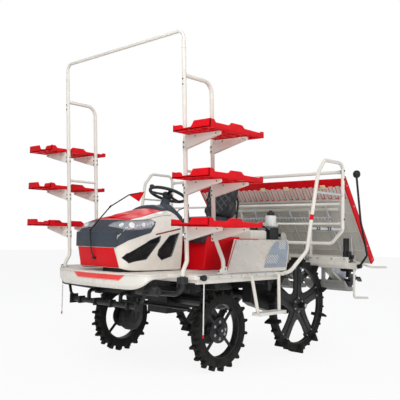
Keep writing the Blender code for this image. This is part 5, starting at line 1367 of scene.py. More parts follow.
class TRANSPLANTER_OT_add_seat(bpy.types.Operator):
    """Add the seat's padded cushion and back, its piping, ribs and pedestal"""

    bl_idname = "transplanter.add_seat"
    bl_label = "Add Seat"

    def execute(self, context):
        self.cushion()
        self.back()
        self.stand()
        return {"FINISHED"}

    def cushion(self):
        """Padded cushion."""
        flat = Matrix.Translation((0.0, 0.485, 1.218)) @ Matrix.Rotation(radians(1.5), 4, "X")
        base = puffed(cushion(0.216, 0.225, 0.026, 0.010, 0.04, flat))
        finished("seat_cushion", base, "vinyl", "chassis", 60)

    def back(self):
        """Padded back with its piping and crossed ribs."""
        upright = Matrix.Translation((0.0, 0.725, 1.440)) @ Matrix.Rotation(radians(79.0), 4, "X")
        rest = puffed(cushion(0.208, 0.215, 0.024, 0.008, 0.05, upright))
        inward = upright.to_3x3() @ Vector((0.0, 0.0, -1.0))

        def front_of_back(across, high):
            """Point on the swollen front of the back."""
            start = upright @ Vector((across, high, 0.150))
            hit, place, _, _ = rest.ray_cast(start, inward)
            return place if hit else upright @ Vector((across, high, 0.036))
        rim = []
        for step in range(40):
            angle = 2 * pi * step / 40
            reach = 1.0 / (abs(cos(angle)) ** 4 + abs(sin(angle)) ** 4) ** 0.25
            rim.append(front_of_back(0.176 * cos(angle) * reach, 0.180 * sin(angle) * reach))
        trims = [pipe(rim, 0.0085, 0.2, 3, closed=True)]
        inner = [front_of_back(0.150 * cos(2 * pi * step / 40), 0.155 * sin(2 * pi * step / 40))
                 for step in range(40)]
        trims.append(pipe(inner, 0.0045, 0.2, 2, closed=True))
        finished("seat_piping", joined(*trims), "dark_plastic", "chassis", 60)
        ribs = []
        for slant in (1, -1):
            for place in (-0.200, -0.120, -0.040, 0.040, 0.120, 0.200):
                points = []
                for step in range(17):
                    share = step / 8 - 1
                    across = 0.125 * share + place * 0.5
                    high = slant * (0.125 * share - place * 0.5)
                    if across * across + high * high < 0.142 ** 2:
                        points.append(front_of_back(across, high) - inward * 0.0015)
                if len(points) > 2:
                    ribs.append(pipe(points, 0.0048, 0.2, 2))
        finished("seat_back_ribs", joined(*ribs), "rib_grey", "chassis", 60)
        finished("seat_back", rest, "vinyl", "chassis", 60)

    def stand(self):
        """Pedestal, back frame and the folded boot under the cushion."""
        stand = [slab((-0.130, 0.130), (0.330, 0.490), (1.0853, 1.178), 0.006, 3),
                 slab((-0.180, 0.180), (0.305, 0.650), (1.172, 1.186), 0.004)]
        for side in (1, -1):
            stand += [pipe([(side * 0.170, 0.570, 1.178), (side * 0.170, 0.735, 1.190),
                            (side * 0.160, 0.780, 1.420), (side * 0.110, 0.785, 1.540)],
                           0.010, 0.05, 4),
                      slab((side * 0.100, side * 0.118), (0.330, 0.610), (1.150, 1.174), 0.003)]
        stand += [slab((-0.150, 0.150), (0.750, 0.762), (1.300, 1.540), 0.004),
                  bar((0.135, 0.380, 1.160), (0.225, 0.380, 1.150), 0.008, 20, 0.002)]
        finished("seat_pedestal", joined(*stand), "black_paint", "chassis",
                 replaces=("seat",))
        belts = []
        for step in range(9):
            height = 1.108 + 0.0075 * step
            inset = 0.004 * (step % 2)
            half = 0.150 - inset
            belts.append(slab((-half, half), (0.315 + inset, 0.505 - inset),
                              (height, height + 0.006), 0.0015))
        finished("seat_boot", joined(*belts), "dark_plastic", "chassis")


WHEEL_CENTRE = (0.0, -0.020, 1.450)
COLUMN_TILT = 20.0


class TRANSPLANTER_OT_add_steering(bpy.types.Operator):
    """Add the steering wheel, its knob, the column, the dash and its levers"""

    bl_idname = "transplanter.add_steering"
    bl_label = "Add Steering and Dash"

    def execute(self, context):
        tilt = Matrix.Translation(WHEEL_CENTRE) @ Matrix.Rotation(radians(-COLUMN_TILT), 4, "X")
        self.wheel(tilt)
        self.dash(tilt)
        self.levers()
        return {"FINISHED"}

    def wheel(self, tilt):
        """Rim, spokes, hub, cap and turning knob."""
        ring = [(0.162 + 0.0140 * cos(2 * pi * step / 16), 0.0140 * sin(2 * pi * step / 16))
                for step in range(16)]
        rim = spun(ring, "Z", ORIGIN, 72)
        hub = spun([(0.0, -0.044), (0.030, -0.044), (0.040, -0.026), (0.046, -0.010),
                    (0.046, 0.004), (0.038, 0.013), (0.020, 0.017), (0.0, 0.018)], "Z", ORIGIN, 40)
        spokes = []
        for angle in (90.0, 215.0, 325.0):
            reach = Vector((cos(radians(angle)), sin(radians(angle)), 0.0))
            aside = Vector((-reach.y, reach.x, 0.0))
            outline = [reach * 0.030 + aside * 0.024, reach * 0.090 + aside * 0.014,
                       reach * 0.155 + aside * 0.020, reach * 0.155 - aside * 0.020,
                       reach * 0.090 - aside * 0.014, reach * 0.030 - aside * 0.024]
            spokes.append(plate([(point.x, point.y) for point in outline], "Z", -0.012, 0.001,
                                0.004, 3))
        knob_x, knob_y = -0.162 * cos(radians(30.0)), -0.162 * sin(radians(30.0))
        knob = spun([(0.0, 0.010), (0.008, 0.010), (0.008, 0.032), (0.018, 0.037), (0.0235, 0.044),
                     (0.0240, 0.052), (0.020, 0.062), (0.011, 0.0675), (0.0, 0.0685)], "Z",
                    (knob_x, knob_y, 0.0), 32)
        wheel = placed(joined(rim, hub, knob, *spokes), tilt)
        finished("steering_wheel_ring", wheel, "dark_plastic", "steering_wheel",
                 40, ("steering_wheel",))
        cap = spun([(0.0, 0.0205), (0.020, 0.0200), (0.026, 0.0165), (0.026, 0.0140),
                    (0.0, 0.0140)], "Z", ORIGIN, 32)
        finished("steering_wheel_cap", placed(cap, tilt), "rib_grey", "steering_wheel")

    def dash(self, tilt):
        """Dash cowl with the column's boot, its panel, screen and dials."""
        body = plate([(-0.1085, DECK_FACE), (-0.1085, 1.150), (-0.198, 1.252), (-0.198, 1.322),
                      (-0.182, 1.345), (-0.160, 1.350), (-0.090, 1.304), (-0.013, 1.250),
                      (-0.016, 1.120), (-0.024, DECK_FACE)], "X", -0.190, 0.190, 0.016, 4, 25)
        column = [spun([(0.0, -0.050), (0.033, -0.050), (0.036, -0.062), (0.040, -0.070),
                        (0.044, -0.110), (0.052, -0.135), (0.070, -0.172), (0.0, -0.172)],
                       "Z", ORIGIN, 40)]
        for level in (-0.120, -0.136, -0.152):
            column.append(spun([(0.052 - 0.35 * (level + 0.12), level),
                                (0.060 - 0.40 * (level + 0.12), level - 0.005),
                                (0.052 - 0.35 * (level + 0.12), level - 0.010)], "Z", ORIGIN, 40))
        column = placed(joined(*column), tilt)
        finished("dash_cowl", joined(body, column), "charcoal", "chassis",
                 40, ("dash_column",))

        face = tilted_to((0.0, 0.054, 0.077), (0.0, -0.062, 1.2865))
        panel = placed(slab((-0.115, 0.115), (-0.034, 0.026), (0.0, 0.007), 0.004, 3), face)
        finished("dash_panel", panel, "dark_plastic", "chassis")
        dials = [placed(slab((-0.060, 0.060), (-0.026, 0.018), (0.0068, 0.0082), 0.001), face)]
        for across in (-0.090, 0.090):
            dials.append(placed(spun([(0.0, 0.0125), (0.009, 0.0120), (0.011, 0.0068),
                                      (0.0, 0.0068)], "Z", (across, -0.005, 0.0), 24), face))
        finished("dash_screen", joined(*dials), "screen", "chassis")

    def levers(self):
        """Two levers at the dash's sides."""
        levers = []
        for side in (1, -1):
            foot = Vector((side * 0.165, -0.055, 1.270))
            tip = foot + Vector((0.02 * side, 0.10, 0.075))
            levers.append(pipe([foot, foot + Vector((0, 0, 0.035)), tip], 0.0045, 0.02, 3))
            knob = spun([(0.0, -0.012), (0.008, -0.010), (0.013, 0.0), (0.013, 0.012),
                         (0.008, 0.022), (0.0, 0.024)], "Z", ORIGIN, 24)
            levers.append(placed(knob, Matrix.Translation(tip)))
        finished("dash_levers", joined(*levers), "dark_plastic", "chassis", 50)


# Body, fenders and hoses

WHEEL_ARCH = 0.500
SLOPE_ASIDE = 0.641
SLOPE_UP = 0.767
FENDER_REAR = ((0.300, 1.150), (0.520, 1.100), (0.600, 0.995), (0.700, 0.835), (0.950, 0.420))


def slope_height(x_place):
    """Height of the fender's sloping face at a distance from the middle plane."""
    return 1.0655 - (x_place - 0.505) * 0.8361


class TRANSPLANTER_OT_add_body(bpy.types.Operator):
    """Add the red seat housing, the cream rear body, fenders, step pads and tank"""

    bl_idname = "transplanter.add_body"
    bl_label = "Add Body and Fenders"

    def execute(self, context):
        self.seat_housing()
        self.side_levers()
        self.rear_housing()
        for side_name, side in SIDES:
            self.fender(side_name, side)
        return {"FINISHED"}

    def seat_housing(self):
        """Red housing under the seat."""
        housing = plate([(0.020, DECK_FACE), (0.028, 0.860), (0.050, 1.060), (0.062, 1.078),
                         (0.080, 1.085), (0.4997, 1.085), (0.4997, DECK_FACE)], "X", -0.415, 0.415,
                        0.014, 4, 25)
        finished("seat_housing", housing, "red_paint", "chassis",
                 replaces=("seat_base",))

    def side_levers(self):
        """Levers beside the seat, with their boots and knobs."""
        boots = []
        for side in (1, -1):
            boots.append(slab((side * 0.250, side * 0.408), (0.000, 0.090), (1.030, 1.094), 0.008,
                              3))
            for step in range(6):
                wide = 0.046 - 0.004 * step
                boots.append(slab(around(side * 0.355, wide), around(0.120, wide),
                                  (1.0845 + 0.010 * step, 1.0965 + 0.010 * step), 0.004, 3))
            boots.append(pipe([(side * 0.355, 0.120, 1.140), (side * 0.365, 0.110, 1.235),
                               (side * 0.372, 0.085, 1.290)], 0.0055, 0.05, 3))
            knob = spun([(0.0, -0.020), (0.011, -0.016), (0.016, 0.0), (0.015, 0.018),
                         (0.009, 0.030), (0.0, 0.033)], "Z", ORIGIN, 28)
            boots.append(placed(knob, Matrix.Translation((side * 0.372, 0.085, 1.300))))
        finished("side_levers", joined(*boots), "dark_plastic", "chassis", 50)

    def rear_housing(self):
        """Cream housing behind the seat, with the tank and its caps."""
        outer = slab((-0.420, 0.420), (0.500, 1.200), (0.7003, 1.065), 0.0)
        carved(outer, slab((-0.402, 0.402), (0.518, 1.300), (0.600, 1.047), 0.0))
        eased(outer, 0.008, 3)
        tank = slab((-0.400, 0.400), (0.690, 0.930), (1.060, 1.150), 0.020, 4)
        ridge = [slab((-0.395, 0.395), (y, y + 0.004), (1.1495, 1.1525), 0.001)
                 for y in (0.720, 0.800, 0.892)]
        finished("rear_housing", joined(outer, tank, *ridge), "cream_paint", "chassis",
                 replaces=("rear_body",))
        caps = [spun([(0.0, 0.0), (0.034, 0.0), (0.036, 0.006), (0.035, 0.020), (0.028, 0.025),
                      (0.0, 0.026)], "Z", (x_place, 0.850, 1.1500), 36)
                for x_place in (-0.300, 0.150)]
        finished("tank_caps", joined(*caps), "dark_plastic", "chassis")

    def fender(self, side_name, side):
        """Sloping fender cut round the wheel, with its pad, slots and red trim."""
        section = [(side * 0.4205, 1.065), (side * 0.4900, 1.065), (side * 0.5040, 1.062),
                   (side * 0.5160, 1.054), (side * 0.8060, 0.8140), (side * 0.8100, 0.8060),
                   (side * 0.8100, DECK_FACE), (side * 0.7800, DECK_FACE), (side * 0.4980, 1.043),
                   (side * 0.4205, 1.043)]
        slope = plate(section, "Y", -0.195, 1.105, 0.0)
        lead = plate([(side * 0.95, -0.40), (side * 0.95, -0.290), (side * 0.81, -0.160),
                      (side * 0.50, 0.310), (side * 0.30, 0.560), (side * 0.30, -0.40)], "Z",
                     0.70, 1.20, 0.0)
        arch = bar((side * 0.46, REAR_WHEEL.y, REAR_WHEEL.z),
                   (side * 0.95, REAR_WHEEL.y, REAR_WHEEL.z), WHEEL_ARCH, 128)
        rear = plate([(side * x, y) for x, y in FENDER_REAR]
                     + [(side * 0.950, 1.600), (side * 0.300, 1.600)], "Z", 0.60, 1.20, 0.0)
        carved(slope, lead, arch, rear)
        eased(slope, 0.0045, 3, 32)
        finished(f"fender_shell_{side_name}", slope, "cream_shell", "chassis",
                 replaces=(f"fender_{side_name}",))

        def at(x_place, y_place, out):
            """Point above the sloping face."""
            return Vector((side * (x_place + SLOPE_ASIDE * out), y_place,
                           slope_height(x_place) + SLOPE_UP * out))

        def rear_line(x_place):
            """Place along Y of the fender's rear edge, at the arch or its cut corner."""
            height = slope_height(x_place)
            reach = WHEEL_ARCH ** 2 - (height - 0.450) ** 2
            cut = 1.095
            for (near_x, near_y), (far_x, far_y) in zip(FENDER_REAR, FENDER_REAR[1:]):
                if near_x <= x_place <= far_x:
                    cut = near_y + (far_y - near_y) * (x_place - near_x) / (far_x - near_x)
            return min(cut, 1.140 - (max(reach, 0.0) ** 0.5)) - 0.010

        def pad(u, v):
            x_place = 0.526 + 0.262 * v
            lead_y = 0.900 - 0.540 * v ** 0.85
            tail_y = rear_line(x_place)
            return at(x_place, lead_y + (tail_y - lead_y) * u, 0.0023)
        cover = skin(28, 16, pad, wall=0.0020 * side)
        finished(f"fender_pad_{side_name}", cover, "grip_pad", "chassis")
        slots = []
        for x_start, y_start, lean in ((0.548, 0.945, -0.030), (0.690, 0.560, -0.040)):
            for row in range(4):
                for column in range(5):
                    x_place = x_start + 0.021 * row
                    y_place = y_start + 0.036 * column + lean * row
                    if y_place + 0.026 > rear_line(x_place):
                        continue
                    made = slab((-0.0068, 0.0068), (0.0, 0.026), (0.0, 0.0030), 0.0012)
                    slots.append(placed(made, tilted_to((side * SLOPE_ASIDE, 0.0, SLOPE_UP),
                                                        at(x_place, y_place, 0.0030))))
        finished(f"fender_slots_{side_name}", joined(*slots), "white_plastic", "chassis")
        lines = [pipe([at(0.515, 0.320, 0.0005), at(0.790, -0.122, 0.0005)], 0.0035, 0.2, 2),
                 pipe([(side * 0.498, 0.345, 1.0665), (side * 0.498, 0.660, 1.0665)], 0.0040, 0.2,
                      2)]
        finished(f"fender_trim_{side_name}", joined(*lines), "red_paint", "chassis")
        edge = [0.505 + 0.300 * step / 20 for step in range(21)]
        lips = [pipe([at(x_place, rear_line(x_place) + 0.008, 0.001) for x_place in edge], 0.0055,
                     0.2, 3)]
        for x_place, y_place in ((0.560, 0.420), (0.760, 0.120), (0.560, 0.700), (0.780, 0.280)):
            lips.append(bolt(at(x_place, y_place, 0.0), (side * SLOPE_ASIDE, 0, SLOPE_UP), 0.006,
                             0.004))
        finished(f"fender_lip_{side_name}", joined(*lips), "cream_paint", "chassis",
                 50)


class TRANSPLANTER_OT_add_rear_fittings(bpy.types.Operator):
    """Add the motor, the control boxes and the hoses behind the seat"""

    bl_idname = "transplanter.add_rear_fittings"
    bl_label = "Add Rear Fittings"

    def execute(self, context):
        motor = [bar((0.345, 1.060, 1.195), (0.345, 1.060, 1.300), 0.055, 40, 0.012),
                 slab((0.290, 0.400), (1.010, 1.110), (1.190, 1.225), 0.008, 3),
                 bar((0.345, 1.060, 1.140), (0.345, 1.060, 1.196), 0.026, 24, 0.004),
                 slab((0.300, 0.390), (1.020, 1.100), (HOUSING_FACE, 1.1415), 0.006)]
        finished("rear_motor", joined(*motor), "white_plastic", "chassis", 40)
        cap = [bar((0.345, 1.060, 1.298), (0.345, 1.060, 1.335), 0.036, 36, 0.006),
               bar((0.345, 1.060, 1.335), (0.345, 1.060, 1.350), 0.018, 24, 0.004)]
        boxes = [slab((0.195, 0.285), (1.032, 1.080), (HOUSING_FACE, 1.150), 0.006),
                 slab((0.300, 0.404), (1.002, 1.018), (HOUSING_FACE, 1.160), 0.004),
                 slab((0.405, 0.412), (0.960, 1.100), (HOUSING_FACE, 1.180), 0.002),
                 slab((-0.300, -0.060), (0.980, 1.110), (HOUSING_FACE, 1.150), 0.010, 3),
                 slab((0.040, 0.160), (1.000, 1.110), (HOUSING_FACE, 1.175), 0.008, 3)]
        finished("rear_boxes", joined(*cap, *boxes), "dark_plastic", "chassis")
        routes = (
            ("a", ((0.120, 0.9350, 1.120), (0.125, 0.975, 1.140), (0.170, 1.000, 1.165),
                   (0.225, 1.020, 1.150), (0.240, 1.030, 1.086))),
            ("b", ((0.060, 0.9350, 1.105), (0.070, 0.965, 1.125), (0.180, 0.960, 1.120),
                   (0.300, 0.970, 1.130), (0.325, 1.000, 1.090))),
            ("c", ((-0.120, 0.9350, 1.110), (-0.110, 0.970, 1.160), (-0.060, 1.000, 1.180),
                   (-0.010, 1.020, 1.150), (0.000, 1.030, 1.086))),
            ("d", ((0.240, 0.9350, 1.125), (0.255, 0.960, 1.180), (0.330, 0.955, 1.190),
                   (0.375, 0.985, 1.150), (0.380, 1.000, 1.090))),
        )
        for name, route in routes:
            points = [spline(route, 4 * step / 40) for step in range(41)]
            hose = pipe(points, 0.0085, 0.2, 3)
            hose = finished(f"rear_hose_{name}", hose, "rubber", "chassis", 60)
        return {"FINISHED"}


# Planting unit

PLATFORM_TOP = Vector((0.0, 1.420, 1.630))
PLATFORM_DOWN = Vector((0.0, 0.580, -0.795)).normalized()
PLATFORM_OUT = Vector((0.0, -PLATFORM_DOWN.z, PLATFORM_DOWN.y))
PLATFORM_TURN = Matrix(((1, 0, 0), (0, PLATFORM_DOWN.y, PLATFORM_OUT.y),
                        (0, PLATFORM_DOWN.z, PLATFORM_OUT.z))).to_4x4()
PLATFORM_LENGTH = 0.984
PLATFORM_HALF = 0.930
LANES = 6
LANE = 2 * PLATFORM_HALF / LANES
SLOT_PLACES = [-PLATFORM_HALF + (index + 0.5) * LANE / 4 for index in range(4 * LANES)]
BEAM_Y = 1.630


def platform_point(x_place, down, out):
    """Point on the platform's slope: across, down it and out of it."""
    return PLATFORM_TOP + PLATFORM_DOWN * down + PLATFORM_OUT * out + Vector((x_place, 0, 0))


def platform_box(x_span, down_span, out_span, edge=0.0015):
    """A slab lying on the seedling platform's slope: across, down it and out of it."""
    made = slab(x_span, down_span, out_span, edge)
    return placed(made, Matrix.Translation(PLATFORM_TOP) @ PLATFORM_TURN)


class TRANSPLANTER_OT_add_platform(bpy.types.Operator):
    """Add the ribs, slots, belts and edge trims of the seedling platform"""

    bl_idname = "transplanter.add_platform"
    bl_label = "Add Seedling Platform"

    def execute(self, context):
        self.ribs()
        self.slots()
        self.belts()
        self.edges()
        return {"FINISHED"}

    def ribs(self):
        """Ribs on the board's underside."""
        under = []
        for index in range(7):
            x_place = -0.925 + index * 1.850 / 6
            under.append(platform_box(around(x_place, 0.004), (0.195, 0.275), (-0.0085, 0.0005)))
            under.append(platform_box(around(x_place, 0.004), (0.355, 0.830), (-0.0125, 0.0005)))
        for x_place in SLOT_PLACES:
            under.append(platform_box(around(x_place, 0.0022), (0.355, 0.825),
                                      (-0.0055, 0.0005), 0.0008))
        for down in (0.205, 0.355, 0.585, 0.815):
            under.append(platform_box((-0.925, 0.925), (down, down + 0.006), (-0.0075, 0.0005),
                                      0.0008))
        finished("platform_ribs", joined(*under), "cream_plastic", "platform")

    def slots(self):
        """Lips and red rims of the slots along the top."""
        shade = []
        for x_place in SLOT_PLACES:
            shade.append(platform_box(around(x_place, 0.018), (0.052, 0.176),
                                      (-0.0035, -0.0005), 0.0008))
            shade.append(platform_box(around(x_place, 0.0055), (0.060, 0.150),
                                      (-0.0070, -0.0030), 0.0008))
        finished("platform_slot_lips", joined(*shade), "cream_plastic", "platform")
        red = []
        for x_place in SLOT_PLACES:
            start, end = around(x_place, 0.2 * LANE / 4)
            red.append(platform_box((start - 0.004, start + 0.001), (0.050, 0.182),
                                    (-0.0045, 0.0125), 0.0008))
            red.append(platform_box((end - 0.001, end + 0.004), (0.050, 0.182),
                                    (-0.0045, 0.0125), 0.0008))
            red.append(platform_box((start - 0.004, end + 0.004), (0.179, 0.185),
                                    (-0.0045, 0.0125), 0.0008))
        finished("platform_slot_rims", joined(*red), "red_plastic", "platform")

    def belts(self):
        """Feed belts, two in each lane."""
        belts = []
        for index in range(LANES):
            middle = -PLATFORM_HALF + (index + 0.5) * LANE
            for x_place in around(middle, 0.070):
                for row in range(16):
                    down = 0.470 + 0.025 * row
                    belts.append(platform_box(around(x_place, 0.030), (down, down + 0.008),
                                              (0.0125, 0.0165), 0.0008))
        finished("platform_belts", joined(*belts), "rubber", "platform")

    def edges(self):
        """Edge trims with their bolts, and the yellow tabs."""
        edges = []
        for side in (1, -1):
            x_place = side * 0.9375
            for down in (0.060, 0.300, 0.540, 0.780, 0.950):
                edges.append(bolt(platform_point(side * 0.944, down, 0.028), (side, 0, 0), 0.006,
                                  0.004))
            edges.append(platform_box(around(x_place, 0.0065),
                                      (-0.030, PLATFORM_LENGTH),
                                      (0.0590, 0.0625), 0.0012))
        finished("platform_edge_bolts", joined(*edges), "zinc", "platform")
        tabs = []
        for x_place in (-0.480, -0.030, 0.266, 0.700):
            tabs.append(platform_box(around(x_place, 0.028), (0.020, 0.062),
                                     (-0.012, -0.0065), 0.001))
        finished("platform_tabs", joined(*tabs), "label_yellow", "platform")


class TRANSPLANTER_OT_add_planter(bpy.types.Operator):
    """Add the planting unit's box bars, gear cases, brackets, covers and fixings"""

    bl_idname = "transplanter.add_planter"
    bl_label = "Add Planting Unit"

    def execute(self, context):
        self.carrier()
        self.covers()
        self.case_lids()
        self.drives()
        return {"FINISHED"}

    def carrier(self):
        """Box bars and rods that carry the platform, with their bolts."""
        bars = [platform_box((-half, half), around(down, 0.012), (-0.062, -0.040), 0.002)
                for down, half in ((0.215, 0.720), (0.385, 0.700))]
        for x_place in (-0.680, -0.230, 0.230, 0.680):
            bars.append(bar(platform_point(x_place, 0.205, -0.051),
                            platform_point(x_place, 0.905, -0.060), 0.009, 20))
        finished("platform_carrier", joined(*bars), "galvanised", "planter")
        dots = []
        for down, count, size, height in ((0.385, 36, 0.0055, 0.003), (0.215, 14, 0.0060, 0.004)):
            for index in range(count):
                place = platform_point(-0.690 + 1.380 * index / (count - 1), down, -0.062)
                dots.append(bolt(place, -PLATFORM_OUT, size, height))
        finished("platform_carrier_bolts", joined(*dots), "dark_metal", "planter")

    def covers(self):
        """Cream covers along the beam."""
        covers = []
        for x_low, x_high in ((0.460, 0.900), (-0.900, -0.460), (-0.400, -0.215), (0.215, 0.400)):
            covers.append(slab((x_low, x_high), (BEAM_Y - 0.052, BEAM_Y - 0.031), (0.795, 0.905),
                               0.006, 3))
            covers.append(slab((x_low + 0.02, x_high - 0.02), (BEAM_Y - 0.060, BEAM_Y - 0.050),
                               (0.815, 0.850), 0.003))
        finished("planter_covers", joined(*covers), "cream_shell", "planter")

    def case_lids(self):
        """Lids with bolts on both faces of each planting case."""
        cases = []
        outline = [(BEAM_Y + y_place, height) for y_place, height in (
            (0.020, 0.800), (0.030, 0.845), (0.200, 0.850), (0.320, 0.780), (0.390, 0.690),
            (0.380, 0.630), (0.330, 0.640), (0.130, 0.745))]
        for centre in (0.600, 0.0, -0.600):
            for side in (1, -1):
                cases.append(plate(outline, "X", centre + side * 0.0402, centre + side * 0.0462,
                                   0.002))
                for y_place, height in ((0.050, 0.815), (0.200, 0.825), (0.330, 0.740),
                                        (0.360, 0.650), (0.160, 0.755)):
                    cases.append(bolt((centre + side * 0.0462, BEAM_Y + y_place, height),
                                      (side, 0, 0), 0.007, 0.005))
        finished("planting_case_lids", joined(*cases), "zinc", "planter")

    def drives(self):
        """Drive housings at the beam's ends, with their rods and bolts."""
        drives = [slab((0.800, 0.870), (BEAM_Y + 0.020, BEAM_Y + 0.120), (0.852, 0.960), 0.010, 3),
                  slab((0.815, 0.858), (BEAM_Y + 0.060, BEAM_Y + 0.100), (0.700, 0.853), 0.006),
                  bar((0.760, BEAM_Y + 0.080, 0.790), (0.905, BEAM_Y + 0.080, 0.790), 0.034, 32,
                      0.004),
                  bar((0.780, BEAM_Y + 0.080, 0.905), (0.890, BEAM_Y + 0.080, 0.905), 0.020, 28,
                      0.003),
                  slab((0.830, 0.850), (BEAM_Y - 0.020, BEAM_Y + 0.070), (0.855, 1.090), 0.004)]
        drives += [mirrored(made) for made in drives]
        finished("planter_drives", joined(*drives), "black_paint", "planter")
        rods = []
        for side in (1, -1):
            rods.append(bar((side * 0.872, BEAM_Y + 0.090, 0.905),
                            (side * 0.872, BEAM_Y + 0.060, 1.120), 0.006, 20))
            rods.append(bar((side * 0.640, BEAM_Y - 0.020, 0.872),
                            (side * 0.900, BEAM_Y - 0.020, 0.872), 0.009, 20))
            for x_place in (0.480, 0.560, 0.720, 0.860):
                rods.append(bolt((side * x_place, BEAM_Y - 0.052, 0.885), (0, -1, 0), 0.007,
                                 0.005))
                rods.append(bolt((side * x_place, BEAM_Y - 0.030, 0.795), (0, 0, -1), 0.007,
                                 0.005))
        finished("planter_rods", joined(*rods), "steel", "planter")


class TRANSPLANTER_OT_add_small_parts(bpy.types.Operator):
    """Add the side markers, line marker balls, pipes and chassis fittings"""

    bl_idname = "transplanter.add_small_parts"
    bl_label = "Add Small Parts"

    def execute(self, context):
        knob = joined(bar((0.8820, -0.503, 0.7825), (0.8820, -0.477, 0.7825), 0.0225, 28, 0.004),
                      slab((0.8605, 0.8640), (-0.512, -0.468), (0.768, 0.797), 0.001))
        stem = bar((0.8820, -0.490, 0.7600), (0.8820, -0.490, 0.372), 0.0046, 20)
        tip = bar((0.8820, -0.490, 0.3740), (0.8820, -0.490, 0.350), 0.0062, 20, 0.001)
        sided("side_marker_knob_SIDE", knob, "dark_plastic", "side_marker_SIDE",
              35, "side_marker_SIDE")
        sided("side_marker_rod_SIDE", stem, "white_plastic", "side_marker_SIDE")
        sided("side_marker_tip_SIDE", tip, "red_plastic", "side_marker_SIDE")

        muffler = [bar((0.330, -0.640, 0.668), (0.560, -0.640, 0.668), 0.036, 40, 0.008),
                   bar((0.555, -0.640, 0.668), (0.590, -0.640, 0.668), 0.016, 24, 0.002),
                   slab((0.420, 0.440), (-0.680, -0.600), (0.628, 0.706), 0.002)]
        finished("muffler", joined(*muffler), "iron", "chassis", 40)

        pipes = []
        for side in (1, -1):
            pipes.append(pipe([(side * 0.150, -0.450, 0.672), (side * 0.150, 0.100, 0.676),
                               (side * 0.120, 0.300, 0.690), (side * 0.120, 0.520, 0.690)],
                              0.008, 0.05, 3))
            pipes += [
                slab((side * 0.235, side * 0.330), (-0.060, 0.080), (0.610, 0.690), 0.006),
                slab((side * 0.255, side * 0.400), (0.180, 0.420), (0.620, 0.740), 0.010, 3)]
            for y_place in (-0.520, -0.300, 0.150, 0.400):
                pipes.append(bolt((side * 0.2305, y_place, 0.630), (side, 0, 0), 0.009, 0.006))
        finished("chassis_fittings", joined(*pipes), "iron", "chassis")

        band = bar((1.0815, 0.6255, 1.240), (1.0835, 0.6335, 1.285), 0.0166, 28)
        sided("handrail_band_SIDE", band, "red_plastic", "chassis")

        ball = spun([(0.0, -0.0365), (0.016, -0.0340), (0.028, -0.0250), (0.0345, -0.0080),
                     (0.0345, 0.0080), (0.028, 0.0250), (0.016, 0.0340), (0.0, 0.0365)], "Z",
                    (1.115, 1.350, 1.690), 36)
        arm = pipe([(1.000, 1.630, 0.820), (1.095, 1.600, 0.930), (1.115, 1.430, 1.250),
                    (1.115, 1.350, 1.660)], 0.010, 0.06, 5)
        boss = bar((1.000, 1.610, 0.820), (1.000, 1.650, 0.820), 0.0217, 32, 0.002)
        sided("line_marker_arm_SIDE", joined(arm, boss, ball), "black_paint", "line_marker_SIDE",
              40, "line_marker_SIDE")
        return {"FINISHED"}


# Stage, panel and order of the steps

